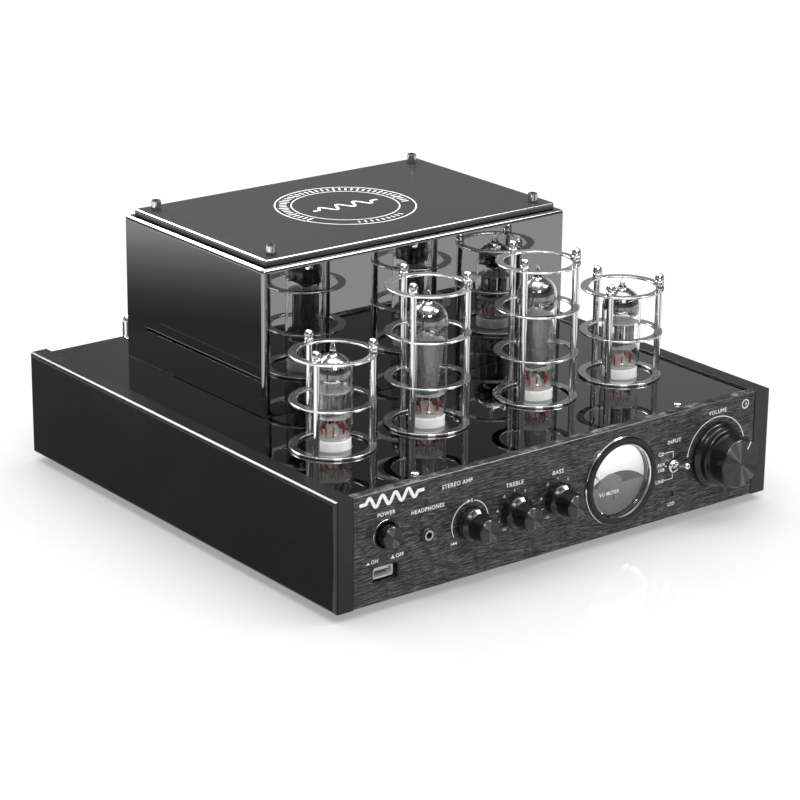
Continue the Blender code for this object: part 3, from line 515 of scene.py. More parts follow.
# ---- casing ----
def make_side(name, side):
    low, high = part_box(name)
    bm = bmesh.new()
    size = high - low
    bmesh.ops.create_cube(bm, size=1, matrix=Matrix.Diagonal((*size, 1)))
    outer = [e for e in bm.edges if all(v.co.x * side > 0 for v in e.verts)]
    bmesh.ops.bevel(bm, geom=outer, offset=2.2 * MM, segments=8, profile=0.5, affect="EDGES")
    rest = [e for e in bm.edges if all(v.co.x * side < 0 for v in e.verts)]
    bmesh.ops.bevel(bm, geom=rest, offset=0.35 * MM, segments=2, profile=0.5, affect="EDGES")
    piece(name + "_rail", bm, SIDE_BLACK, "chassis", [name], moved((low + high) / 2))


def make_front_panel():
    size = PANEL_HIGH - PANEL_LOW
    middle = (PANEL_LOW + PANEL_HIGH) / 2
    bm = bmesh.new()
    block(bm, size, radius=0.55 * MM, segments=2, only=lambda a, b: a.y < 0 and b.y < 0)
    for face in bm.faces:
        if face.normal.z > 0.3 and face.normal.y < -0.3:
            face.material_index = 1
    looks = [BRUSHED_BLACK, EDGE_METAL]
    panel = piece("front_plate", bm, looks, "chassis", ["front_panel"], moved(middle))
    power, usb, phones = centre("power_button"), centre("wireless_board"), centre("headphone_jack")
    led = centre("status_led")
    meter, lever = centre("meter_bezel"), centre("input_switch")

    def holes(made):
        rounds = [
            (8.6, power.x, centre("power_switch").z), (3.4, phones.x, CONTROL_Z), (23.6, meter.x, CONTROL_Z),
            (3.4, lever.x, CONTROL_Z), (1.7, led.x, led.z),
        ]
        rounds += [(3.6, centre(name + "_knob").x, CONTROL_Z) for name in ("track", "treble", "bass", "volume")]
        for radius, x, z in rounds:
            profile = mm([(0, 10), (radius, 10), (radius, -20), (0, -20)])
            turn(made, profile, 64, on_front(x, z))
        block(
            made, (17.8 * MM, 30 * MM, 10 * MM), (usb.x, FRONT_Y, USB_Z), 2.2 * MM, 6,
            only=lambda a, b: along(1, a, b),
        )

    cut(panel, holes)


def make_deck():
    size, middle = DECK_HIGH - DECK_LOW, (DECK_LOW + DECK_HIGH) / 2
    bm = bmesh.new()
    block(bm, size, radius=0.3 * MM, segments=2, only=lambda a, b: a.z > 0 and b.z > 0)
    deck = piece("deck_sheet", bm, MIRROR_BLACK, "chassis", ["deck_plate"], moved(middle))

    def holes(made):
        for place, _ in TUBES.values():
            turn(made, mm([(0, 9), (10.7, 9), (10.7, -9), (0, -9)]), 96, moved((place.x, place.y, DECK_Z)))

    cut(deck, holes)


def make_cover():
    low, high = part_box("transformer_cover")
    size, middle = high - low, (low + high) / 2
    sheet = 1.2 * MM
    bm = bmesh.new()
    bmesh.ops.create_cube(bm, size=1, matrix=Matrix.Diagonal((*size, 1)))
    underside = [f for f in bm.faces if f.normal.z < -0.5]
    bmesh.ops.delete(bm, geom=underside, context="FACES_ONLY")
    rounded = [e for e in bm.edges if len(e.link_faces) == 2]
    bmesh.ops.bevel(bm, geom=rounded, offset=2.6 * MM, segments=8, profile=0.5, affect="EDGES")
    cover = piece("cover_shell", bm, MIRROR_BLACK, "chassis", ["transformer_cover"], moved(middle))
    wall = cover.modifiers.new("wall", "SOLIDIFY")
    wall.thickness = sheet
    wall.offset = -1
    cover.modifiers.move(1, 0)  # before flat_faces, so that the sheet's rim doesn't tilt the faces' normals


def emblem(bm):
    """Two rings with ticks between them, round a wave mark, all lying flat."""

    def band(radius, width, count=96):
        angles = [TAU * i / count for i in range(count + 1)]
        inner = [(math.cos(a) * (radius - width / 2), math.sin(a) * (radius - width / 2)) for a in angles]
        outer = [(math.cos(a) * (radius + width / 2), math.sin(a) * (radius + width / 2)) for a in angles]
        for i in range(count):
            prism(bm, [inner[i], outer[i], outer[i + 1], inner[i + 1]], 0, 0.06 * MM)

    def tick(radius, length, width, angle):
        inner, outer = radius - length / 2, radius + length / 2
        outline = mm([(inner, -width / 2), (outer, -width / 2), (outer, width / 2), (inner, width / 2)])
        prism(bm, outline, 0, 0.06 * MM, Matrix.Rotation(math.radians(angle), 4, "Z"))

    band(41.2 * MM, 0.8 * MM)
    band(31.6 * MM, 0.7 * MM)
    for i in range(40):
        angle = 200 - i * 5.64
        tick(36.4, 4.4 if i % 4 else 6.0, 1.1, angle)
    for i in range(9):
        tick(36.3, 3.4, 1.0, 270 - 24 + i * 6)
    wave(bm, 46 * MM, 9 * MM, 1.7 * MM, 3.0, Matrix())


def wave(bm, width, height, stroke, turns, matrix, depth=0.06 * MM):
    """A sine wave drawn as a flat band, ending in short straight leads."""
    steps = int(26 * turns)
    points = []
    for i in range(steps + 1):
        t = i / steps
        points.append(Vector((width * (t - 0.5) * 0.8, height / 2 * math.sin(TAU * turns * t))))
    points = [Vector((-width / 2, 0)), *points, Vector((width / 2, 0))]
    left, right = [], []
    for i, p in enumerate(points):
        ahead = (points[min(i + 1, len(points) - 1)] - points[max(i - 1, 0)]).normalized()
        side = Vector((-ahead.y, ahead.x)) * stroke / 2
        left.append(p + side)
        right.append(p - side)
    for i in range(len(points) - 1):
        outline = [right[i], right[i + 1], left[i + 1], left[i]]
        prism(bm, [(p.x, p.y) for p in outline], 0, depth, matrix)


def make_lid():
    low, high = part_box("cover_lid")
    size, middle = high - low, (low + high) / 2
    bm = bmesh.new()
    block(bm, size, radius=2.2 * MM, segments=6, only=lambda a, b: along(2, a, b))
    top = [e for e in bm.edges if all(v.co.z > size.z / 2 - 1e-6 for v in e.verts)]
    rim = bmesh.ops.bevel(bm, geom=top, offset=1.5 * MM, segments=6, profile=0.5, affect="EDGES")
    for face in rim["faces"]:
        if face.normal.z < 0.99:
            face.material_index = 1
    piece("lid_plate", bm, [SATIN_LID, MIRROR_BLACK], "chassis", ["cover_lid"], moved(middle))
    bm = bmesh.new()
    emblem(bm)
    piece("lid_emblem", bm, PRINT, "chassis", matrix=moved((middle.x, middle.y, high.z)))


def cap_screw(bm, radius, height):
    """Socket cap screw: a knurled head with a hexagon socket, standing on z = 0."""
    steps, corners = 40, 6
    knurl = [1.0 if i % 2 else 0.95 for i in range(steps)]
    rings = []
    for z, scales in ((0.0, knurl), (height * 0.82, knurl), (height, [0.9 * 0.97] * steps)):
        points = circle(radius, z, steps)
        rings.append([bm.verts.new((p.x * k, p.y * k, z)) for p, k in zip(points, scales)])
    skin(bm, rings)
    bm.faces.new(list(reversed(rings[0])))
    mouth, floor = ([bm.verts.new(p) for p in circle(radius * 0.5, z, corners)] for z in (height, height * 0.45))
    bm.faces.new(floor)
    skin(bm, [mouth, floor])
    top = rings[-1]
    for i in range(steps):
        j = (i + 1) % steps
        near, far = (mouth[int(k * corners / steps + 0.5) % corners] for k in (i, j))
        bm.faces.new(list(dict.fromkeys([top[i], top[j], far, near])))


def make_cover_screws():
    for corner in ("front_left", "front_right", "rear_left", "rear_right"):
        node = "cover_screw_" + corner
        low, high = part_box(node)
        lid_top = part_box("cover_lid")[1].z
        bm = bmesh.new()
        cap_screw(bm, 2.95 * MM, high.z - lid_top - 0.2 * MM)
        turn(bm, [(1.35 * MM, 0), (1.35 * MM, low.z - lid_top), (0, low.z - lid_top)], 16)
        middle = (low + high) / 2
        piece(
            node + "_head", bm, NUT_CHROME, "chassis", [node],
            moved((middle.x, middle.y, lid_top + 0.2 * MM)),
        )


def pan_screw(bm, radius, height, matrix):
    """Low domed screw, standing on z = 0."""
    side = [(0, height), (radius * 0.7, height * 0.9), (radius, height * 0.3), (radius, 0)]
    turn(bm, round_corners(side, radius * 0.5) + [(0, 0)], 24, matrix)


def make_small_screws():
    """Screws that hold the deck and the rear panel."""
    bm = bmesh.new()
    for x in (-93 * MM, 93.5 * MM):
        pan_screw(bm, 2.6 * MM, 1.3 * MM, moved((x, FRONT_Y + 12.4 * MM, DECK_Z)))
    for x in (-60 * MM, 60 * MM):
        pan_screw(bm, 2.9 * MM, 1.5 * MM, moved((x, REAR_Y - 9 * MM, DECK_Z)))
    piece("deck_screws", bm, NUT_CHROME, "chassis")
    bm = bmesh.new()
    middle = centre("rear_panel")
    for x in (-134, -50, 50, 134):
        for z in (-23, 23):
            pan_screw(bm, 2.6 * MM, 1.4 * MM, on_rear(x * MM, middle.z + z * MM))
    inlet = centre("ac_inlet")
    for side in (-1, 1):
        flange = moved((0, 3.3 * MM, 0)) @ on_rear(inlet.x + side * 19.3 * MM, inlet.z)
        pan_screw(bm, 2.4 * MM, 1.2 * MM, flange)
    piece("rear_screws", bm, NICKEL, "chassis")


def make_feet():
    for corner in ("front_left", "front_right", "rear_left", "rear_right"):
        node = "foot_" + corner
        low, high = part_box(node)
        middle = (low + high) / 2
        top = high.z - low.z
        side = [(0, top), (10 * MM, top), *mm([(10, 2.2), (9, 0), (3, 0), (3, 2.5), (0, 2.5)])]
        bm = bmesh.new()
        turn(bm, round_corners(side, 0.8 * MM), 64)
        piece(node + "_pad", bm, RUBBER, "chassis", [node], moved((middle.x, middle.y, low.z)))


# ---- tubes ----
def make_guard(name, place, tall):
    """Flat rings on three posts, in millimetres above the deck."""
    count = 4 if tall else 3
    pitch, foot, outer, inner = 25.9, 0.3, 23.85, 19.2
    bm = bmesh.new()
    for level in range(count):
        z = foot + level * pitch
        section = mm([(outer, z + 1), (outer, z), (inner, z), (inner, z + 1)])
        turn(bm, round_corners(section, 0.3 * MM, 3, True), 128, index=1, closed=True)
    bm.normal_update()
    for face in bm.faces:
        if face.normal.z < 0.95:
            face.material_index = 0
    top = foot + 1 + (count - 1) * pitch
    post = [(0, top + 0.2), (1.9, top + 0.2), (1.9, 0.4), (1.2, 0.4), (1.2, -6), (0, -6)]
    nut = [
        (0, 7.0), (1.1, 6.75), (2.0, 6.0), (2.55, 4.9), (2.68, 3.9), (2.45, 3.0),
        (2.0, 2.55), (2.3, 2.3), (2.62, 2.0), (2.68, 0.3), (2.5, 0.02), (0, 0.02),
    ]
    nut = round_corners(mm([(r, top + z) for r, z in nut]), 0.35 * MM, 3)
    reach = (outer + inner) / 2 * MM
    for angle in (math.radians(degrees) for degrees in (90, 210, 330)):
        at = moved((reach * math.cos(angle), reach * math.sin(angle), 0))
        turn(bm, mm(post), 32, at)
        turn(bm, nut, 32, at, 2)
    piece(
        "guard_" + name, bm, [CHROME, RING_CHROME, NUT_CHROME], "chassis", ["tube_guard_" + name],
        moved((place.x, place.y, DECK_Z)),
    )


def make_socket(name, place):
    low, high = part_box("tube_socket_" + name)
    top, foot = (high.z - DECK_Z) / MM, (low.z - DECK_Z) / MM
    side = [(0, top), (10.1, top), (10.1, -1.8), (13.3, -1.8), (13.3, -3.8), (9.2, -3.8), (9.2, foot), (0, foot)]
    bm = bmesh.new()
    turn(bm, round_corners(mm(side), [r * MM for r in (0, 1.0, 0, 0.4, 0.4, 0.4, 0.8, 0)]), 64)
    piece(
        "socket_" + name, bm, CERAMIC, "chassis", ["tube_socket_" + name],
        moved((place.x, place.y, DECK_Z)),
    )


GLASS_RADIUS = 11.2


def dome_height(tall):
    """Top of the glass without its tip, in millimetres above the socket's top."""
    return 64.0 if tall else 46.5


def envelope_profile(tall, inset=0.0):
    """Outside of the glass, from the axis down, in millimetres above the socket's top; inset moves it inwards."""
    radius = GLASS_RADIUS - inset
    shoulder = dome_height(tall) - 10.5
    rise = dome_height(tall) - inset - shoulder
    points = []
    for i in range(13):
        a = math.radians(90 - 90 * i / 12)
        points.append((radius * math.cos(a) ** 0.86 if i < 12 else radius, shoulder + rise * math.sin(a)))
    return points


def make_envelope(name, place, tall):
    """The glass with its pinched tip, and the silver film inside its top."""
    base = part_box("tube_socket_" + name)[1].z
    dome = dome_height(tall)
    tip = [(0, 6.9), (0.55, 6.7), (0.95, 5.6), (1.35, 3.6), (1.75, 1.7), (2.6, 0.45)]
    outside = [(r, dome + z) for r, z in tip] + envelope_profile(tall)[2:]
    outside += [(GLASS_RADIUS, 6.2), (10.9, 3.6), (10.2, 1.4), (9.9, 0.5)]
    inside = [(9.2, 0.6), (9.4, 1.9), (10.1, 4.2), (10.3, 6.4)]
    inside += list(reversed(envelope_profile(tall, 0.9)))
    bm = bmesh.new()
    turn(bm, mm(outside + inside), 96)
    piece(
        "envelope_" + name, bm, TUBE_GLASS, "tube_" + name, ["tube_envelope_" + name],
        moved((place.x, place.y, base)), 60,
    )
    bm = bmesh.new()
    reach = 15.5 if tall else 13.0
    film = [(r, z) for r, z in envelope_profile(tall, 1.1)]
    wall = film[-1][0]
    edge = dome - reach
    film += [(wall, edge)]
    inner = [(max(r - 0.12, 0), z - 0.12) for r, z in reversed(film)]
    turn(bm, mm(film + inner), 96)
    for vert in bm.verts:
        if vert.co.z < (edge + 0.4) * MM:
            angle = math.atan2(vert.co.y, vert.co.x)
            vert.co.z += (1.2 * math.sin(2 * angle + 1) + 0.7 * math.sin(5 * angle)) * MM
    piece(
        "getter_film_" + name, bm, GETTER, "tube_" + name, (),
        moved((place.x, place.y, base)), 60,
    )


def disc(bm, radius, low, high, index):
    turn(bm, mm([(0, high), (radius, high), (radius, low), (0, low)]), index=index)


def wire(bm, points, radius, steps, index):
    """tube, with its lengths in millimetres."""
    tube(bm, [Vector(p) * MM for p in points], radius * MM, steps, index)


def make_electrodes(name, place, tall):
    """Glass button, leads, micas, anode, rods and getter ring."""
    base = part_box("tube_socket_" + name)[1].z
    low_mica, high_mica = 12.0, (42.5 if tall else 26.5)
    bm = bmesh.new()
    # The glass button and the stem are real parts, but take the pale mica colour as a painted bright reflection
    # behind the leads.
    disc(bm, 9.0, 0.35, 1.8, 1)
    stem = [(0, 7.0), (2.6, 6.6), (3.6, 4.2), (4.4, 1.7), (0, 1.7)]
    turn(bm, round_corners(mm(stem), 0.5 * MM, 3), 40, index=1)
    for z in (low_mica, high_mica):
        rim = [(9.6 if i % 12 < 9 else 8.8, TAU * i / 72) for i in range(72)]
        prism(bm, mm([(r * math.cos(a), r * math.sin(a)) for r, a in rim]), z * MM, (z + 0.4) * MM, index=1)
    for i in range(PINS):
        a = math.radians(-90 + 36 * (i + 1))
        foot = Vector((5.95 * math.cos(a), 5.95 * math.sin(a), 0))
        flare = Vector((6.9 * math.cos(a + 0.1), 6.9 * math.sin(a + 0.1), 7.5))
        head = Vector((4.6 * math.cos(a + 0.35), 4.6 * math.sin(a + 0.35), low_mica))
        wire(bm, [foot - UP * 6, foot + UP * 1.8], 0.5, 10, 3)
        wire(bm, [foot + UP * 1.6, (foot + flare) / 2 + UP * 0.4, flare], 0.42, 10, 2)
        wire(bm, [flare, (flare + head) / 2 + UP * 0.5, head], 0.3, 8, 3)
    for side in (-1, 1):
        wire(bm, [(side * 7.3, 0, low_mica - 5), (side * 7.3, 0, high_mica + 2)], 0.5, 10, 3)
        for y in (-2.2, 2.2):
            wire(bm, [(side * 2.2, y, low_mica - 2), (side * 2.2, y, high_mica + 1.6)], 0.35, 8, 3)
    if tall:
        anode_tall(bm, low_mica + 0.5, high_mica - 0.1)
    else:
        anode_twin(bm, low_mica + 0.5, high_mica - 0.1)
    stalk = high_mica + 5.5
    wire(bm, [(0, 5.2, high_mica), (0, 5.2, stalk)], 0.35, 8, 3)
    ring = [(5.7, stalk + 0.4), (5.7, stalk - 0.4), (4.7, stalk - 0.4), (4.7, stalk + 0.4)]
    turn(bm, mm(ring), 40, index=3, closed=True)
    piece(
        "electrodes_" + name, bm, [TUBE_GLASS, MICA, LEAD_RED, NICKEL, ANODE], "tube_" + name,
        ["tube_electrodes_" + name], moved((place.x, place.y, base)),
    )


def anode_tall(bm, low, high):
    """Pressed sheet anode: a flattened tube with folded seams and stiffening ribs."""
    outline = []
    for i in range(64):
        a = TAU * i / 64
        x = 6.4 * math.copysign(abs(math.cos(a)) ** 0.75, math.cos(a))
        y = 5.4 * math.copysign(abs(math.sin(a)) ** 0.75, math.sin(a))
        if abs(y) > 4.4:
            y *= 0.93 if abs(x) < 1.6 else 1.0
        outline.append((x * MM, y * MM))
    prism(bm, outline, low * MM, high * MM, index=4)
    for side in (-1, 1):
        block_mm(bm, (2.6, 0.7, high - low), (side * 7.2, 0, (low + high) / 2), 0.2, 2, index=4)
    for z in (low + 3, (low + high) / 2, high - 3):
        rib = [(6.55, z + 0.5), (6.75, z), (6.55, z - 0.5), (6.2, z)]
        turn(bm, mm(rib), 64, Matrix.Diagonal((1, 0.86, 1, 1)), 4, True)


def anode_twin(bm, low, high):
    """Two box anodes side by side, each with a window rim."""
    middle, height = (low + high) / 2, high - low
    for side in (-1, 1):
        block_mm(bm, (6.2, 8.4, height - 1), (side * 4.0, 0, middle), 0.9, 3, index=4)
        for face in (-1, 1):
            block_mm(bm, (4.4, 0.5, height - 5), (side * 4.0, face * 4.3, middle), 0.2, 2, index=4)


# ---- front controls ----
def knob(node, name, rim, side, radii, face, steps):
    """A knob. rim is from its front down, side from the panel up and face the radius of its spun face."""
    low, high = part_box(node)
    reach, back = (FRONT_Y - low.y) / MM, (high.y - FRONT_Y) / MM
    side = [(r, reach + z) for r, z in rim] + side + [(3, 0.6), (3, -back), (0, -back)]
    bm = bmesh.new()
    radii = [r * MM for r in radii] + [0] * (len(side) - len(radii))
    turn(bm, round_corners(mm(side), radii, 4), steps)
    edge = 0.4 if face < 10 else 0.5
    turn(bm, mm([(0, reach - 0.05), (face, reach - 0.05), (face, reach - edge)]), steps, index=1)
    piece(name, bm, [KNOB_BLACK, SPUN_BLACK], node, [node], on_front(centre(node).x, CONTROL_Z), 30)
    return reach


def make_small_knob(node, name):
    """Skirted knob with a white mark on the skirt's upper slope."""
    side = [(7.15, 8.2), (7.5, 7.2), (9.1, 5.4), (9.35, 4.6), (9.35, 0.9), (9.0, 0.6)]
    knob(node, name, [(6.1, 0), (6.6, -0.5)], side, [0, 0.5, 1.2, 0.8, 0.6, 0.5, 0.3], 6.1, 96)
    bm = bmesh.new()
    tilt = moved((0, 8.05 * MM, 6.75 * MM)) @ Matrix.Rotation(math.radians(-48), 4, "X")
    block_mm(bm, (2.6, 2.5, 0.3), radius=0.1, segments=2, matrix=tilt)
    piece(name + "_mark", bm, PRINT, node, matrix=on_front(centre(node).x, CONTROL_Z))


def make_volume_knob():
    node = "volume_knob"
    side = [(14.15, 9.7), (15.9, 9.0), (16.5, 8.5), (16.5, 4.9), (17.7, 3.9), (18.8, 3.1), (18.8, 0.9), (18.4, 0.6)]
    radii = [0, 0.6, 0.2, 0.3, 0.6, 0.4, 0.6, 0.6, 0.3]
    reach = knob(node, "volume_dial", [(13.5, 0), (14.15, -0.6)], side, radii, 13.5, 128)
    bm = bmesh.new()
    spin = Matrix.Rotation(math.radians(-30), 4, "Z")
    block_mm(bm, (0.75, 4.6, 0.14), (0, 11.2, reach - 0.08), 0.05, 1, matrix=spin)
    piece("volume_mark", bm, PRINT, node, matrix=on_front(centre(node).x, CONTROL_Z))


def make_power():
    button = centre("power_button")
    low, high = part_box("power_button")
    reach, back = (FRONT_Y - low.y) / MM, (high.y - FRONT_Y) / MM
    matrix = on_front(button.x, button.z)
    bm = bmesh.new()
    ring = [(7.3, 0.9), (8.3, 0.5), (8.3, -11), (6.9, -11), (6.9, 0.5)]
    turn(bm, round_corners(mm(ring), 0.4 * MM, 4, True), 96, closed=True)
    block_mm(bm, (20, 16, 24), (0, 0, -22), 0.5, 2, index=1)
    piece("power_ring", bm, [KNOB_BLACK, BLACK_PLASTIC], "chassis", ["power_switch"], matrix)
    bm = bmesh.new()
    rim = [(8.42, 0.62), (8.55, 0.3), (8.42, 0.02), (8.2, 0.3)]
    turn(bm, round_corners(mm(rim), 0.05 * MM, 2, True), 96, closed=True)
    piece("power_rim", bm, CHROME, "chassis", matrix=matrix)
    side = [(5.7, reach), (6.3, reach - 0.6), (6.3, -5.5), (2.5, -5.5), (2.5, -back), (0, -back)]
    bm = bmesh.new()
    turn(bm, round_corners(mm(side), [0, 0.6 * MM, 0, 0, 0, 0], 4), 96)
    turn(bm, mm([(0, reach - 0.15), (5.4, reach - 0.05), (5.7, reach)]), 96, index=1)
    piece("power_cap", bm, [KNOB_BLACK, SPUN_BLACK], "power_button", ["power_button"], matrix, 30)


def make_phones():
    place = centre("headphone_jack")
    bm = bmesh.new()
    side = [(1.8, 2.0), (2.9, 2.0), (3.0, 1.5), (3.0, 0.9), (3.0, -8), (1.8, -8)]
    turn(bm, mm(side), 64, closed=True)
    rim = [(3.1, 1.4), (3.6, 1.75), (4.0, 1.4), (4.3, 0.3), (3.1, 0.3)]
    turn(bm, round_corners(mm(rim), 0.15 * MM, 2, True), 64, index=1, closed=True)
    block_mm(bm, (11, 11, 10), (0, 0, -13.2), 0.4, 2, index=1)
    turn(bm, mm([(1.8, 1.9), (1.8, -8), (1.5, -8), (1.5, 1.0)]), 48, index=1, closed=True)
    piece(
        "phones_socket", bm, [NICKEL, BLACK_PLASTIC], "chassis", ["headphone_jack"],
        on_front(place.x, CONTROL_Z),
    )


def make_usb():
    place = centre("wireless_board")
    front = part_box("wireless_board")[0].y
    depth = (front - FRONT_Y) / MM
    bm = bmesh.new()
    outer_w, outer_h, wall = 13.4, 6.4, 0.8
    for x, z, w, h in (
        (0, outer_h / 2 - wall / 2, outer_w, wall), (0, -outer_h / 2 + wall / 2, outer_w, wall),
        (outer_w / 2 - wall / 2, 0, wall, outer_h), (-outer_w / 2 + wall / 2, 0, wall, outer_h),
    ):
        block_mm(bm, (w, h, 15.6), (x, z, -(depth + 7.9)), 0.12, 2)
    block_mm(bm, (outer_w, outer_h, 0.6), (0, 0, -(depth + 15.4)), index=1)
    block_mm(bm, (11.0, 1.8, 13.2), (0, 0.9, -(depth + 8.6)), 0.3, 2, index=1)
    for i in range(4):
        block_mm(bm, (1.0, 0.15, 9), ((i - 1.5) * 2.4, -0.08, -(depth + 7.4)), index=2)
    block_mm(bm, (29.6, 1.5, 41.5), (0, -3.8, -(depth + 27)), 0.2, 1, index=3)
    block_mm(bm, (15.8, 3, 13.8), (0, -1.8, -(depth + 34)), 0.3, 1, index=1)
    piece(
        "usb_socket", bm, [SHELL_STEEL, BLACK_PLASTIC, BRASS, BOARD_GREEN], "chassis",
        ["wireless_board"], on_front(place.x, USB_Z),
    )
    bm = bmesh.new()
    frame_ring(bm, (17.7, 9.9), (16.6, 8.8), 2.1, -0.1, -1.4)
    piece("usb_rim", bm, BLACK_PLASTIC, "chassis", matrix=on_front(place.x, USB_Z))


def rounded_rectangle(width, height, radius, steps=6):
    """Counter-clockwise outline in metres, from sizes in millimetres."""
    points = []
    for cx, cy, start in (
        (width / 2 - radius, height / 2 - radius, 0), (-width / 2 + radius, height / 2 - radius, 90),
        (-width / 2 + radius, -height / 2 + radius, 180), (width / 2 - radius, -height / 2 + radius, 270),
    ):
        for i in range(steps + 1):
            a = math.radians(start + 90 * i / steps)
            points.append(((cx + radius * math.cos(a)) * MM, (cy + radius * math.sin(a)) * MM))
    return points


def frame_ring(bm, outer, inner, radius, high, low):
    """A rectangular rim between two rounded outlines, from low to high in millimetres."""
    a = rounded_rectangle(*outer, radius)
    b = rounded_rectangle(*inner, max(radius - (outer[0] - inner[0]) / 2, 0.3))
    rings = [[bm.verts.new((x, y, z * MM)) for x, y in pts] for pts, z in ((a, high), (a, low), (b, low), (b, high))]
    skin(bm, rings, closed=True)


def make_led():
    place = centre("status_led")
    bm = bmesh.new()
    profile = [(0, -0.3), (0.9, -0.45), (1.4, -0.9), (1.4, -8), (0, -8)]
    turn(bm, round_corners(mm(profile), 0.4 * MM), 32)
    piece("lamp_lens", bm, BLACK_PLASTIC, "chassis", ["status_led"], on_front(place.x, place.z))


def make_toggle():
    place = centre("input_switch")
    bm = bmesh.new()
    side = [(2.15, 2.1), (3.0, 2.3), (3.0, 1.8), (3.0, -8), (2.15, -8)]
    turn(bm, mm(side), 48, closed=True)
    nut = [(2.8, 2.0), (3.3, 1.95), (3.82, 1.4), (3.82, 0.35), (2.8, 0.35)]
    turn(bm, round_corners(mm(nut), 0.2 * MM, 3, True), 64, closed=True)
    block_mm(bm, (13, 12, 10), (0, 0, -11.4), 0.3, 1, index=1)
    piece(
        "toggle_bush", bm, [CHROME, BLACK_PLASTIC], "chassis", ["input_switch"],
        on_front(place.x, CONTROL_Z),
    )
    pivot = pivot_of("input_toggle")
    bm = bmesh.new()
    side = [
        (0, 13.35), (1.1, 13.1), (1.7, 12.4), (1.87, 11.5), (1.72, 10.2), (1.58, 7.0), (1.13, 2.6),
        (1.5, 1.2), (1.86, 0), (1.5, -1.2), (0.9, -1.7), (0.9, -3), (0, -3),
    ]
    turn(bm, round_corners(mm(side), 0.4 * MM, 3), 48)
    tilt = moved(pivot) @ Matrix.Rotation(math.pi / 2 - math.radians(16), 4, "X")
    piece("toggle_lever", bm, RING_CHROME, "input_lever", ["input_lever"], tilt, 60)


# ---- meter ----
DIAL_RADIUS = 20.2


def dial_part(z_low, edge, count=48):
    """Outline of the dial from its lower edge up to the curve edge(x), from sizes in millimetres."""
    half = math.sqrt(DIAL_RADIUS**2 - z_low**2)
    xs = [half - 2 * half * i / count for i in range(count + 1)]
    upper = [(x, min(edge(x), math.sqrt(max(DIAL_RADIUS**2 - x * x, 0)))) for x in xs]
    start = math.atan2(z_low, -half)
    rim = [start + (math.pi + 2 * math.atan2(z_low, half)) * i / count for i in range(1, count)]
    return mm(upper + [(DIAL_RADIUS * math.cos(a), DIAL_RADIUS * math.sin(a)) for a in rim])


def make_meter():
    place = centre("meter_bezel")
    matrix = on_front(place.x, CONTROL_Z)
    bm = bmesh.new()
    bezel = [
        (21.2, 1.9), (22.2, 2.15), (24.4, 2.15), (25.2, 1.8), (25.75, 0.9), (25.75, 0.3), (23.0, 0.3), (23.0, -8),
        (20.75, -8), (20.75, 1.2),
    ]
    turn(bm, round_corners(mm(bezel), 0.35 * MM, 3, True), 128, closed=True)
    rim = [(20.9, 1.15), (21.25, 1.95), (20.72, 1.5), (20.72, 0.2)]
    turn(bm, mm(rim), 128, index=1, closed=True)
    outer = [(25.3, 1.55), (25.78, 0.95), (25.78, 0.35), (25.3, 0.35)]
    turn(bm, mm(outer), 128, index=1, closed=True)
    piece("meter_rim", bm, [KNOB_BLACK, CHROME], "chassis", ["meter_bezel"], matrix)
    bm = bmesh.new()
    lens = [(0, 1.65), (6, 1.58), (12, 1.25), (17, 0.75), (20.35, 0.35)]
    lens += [(20.35, -0.5), (17, -0.15), (12, 0.35), (6, 0.68), (0, 0.75)]
    turn(bm, mm(lens), 128)
    piece("meter_lens", bm, METER_GLASS, "chassis", ["meter_glass"], matrix, 50)
    bm = bmesh.new()
    turn(bm, mm([(0, -3.7), (20.4, -3.7), (20.4, -16.8), (0, -16.8)]), 96)
    piece("meter_can", bm, DIAL_PAINTED_GLOW, "chassis", ["meter_housing"], matrix)
    bm = bmesh.new()
    hill = dial_part(-2.2, lambda x: -28 + math.sqrt(32**2 - (x - 1) ** 2))
    prism(bm, hill, -3.68 * MM, -3.62 * MM)

    def arch(x):
        return max(-3.0, -5.7 + math.sqrt(max(9.5**2 - (x + 4.3) ** 2, 0)))

    prism(bm, dial_part(-3.0, arch, 96), -3.6 * MM, -3.54 * MM, index=1)
    piece("meter_mask", bm, [DIAL_DARK, DIAL_GREY], "chassis", matrix=matrix)
    bm = bmesh.new()
    text(bm, "VU METER", 2.0, -4.9, -7.5)
    piece("meter_words", bm, PRINT_LIT, "chassis", matrix=matrix @ moved((0, 0, -3.5 * MM)), sharp=180)
    make_needle()


def make_needle():
    pivot = pivot_of("needle_swing")
    bm = bmesh.new()
    lean = Matrix.Rotation(math.radians(45), 4, "Z")
    block_mm(bm, (0.4, 22.0, 0.3), (0, 9.6, -2.75), matrix=lean, index=2)
    block_mm(bm, (0.9, 3.5, 0.3), (0, 22.3, -2.75), matrix=lean)
    turn(bm, mm([(0, -2.2), (1.3, -2.3), (1.3, -3.5), (0, -3.5)]), 32, index=2)
    piece(
        "needle", bm, [PRINT_RED, BLACK_PLASTIC, DIAL_GREY], "meter_needle", ["meter_needle"],
        moved(pivot) @ FROM_FRONT,
    )


# ---- printing ----
PRINT_DEPTH = 0.05 * MM


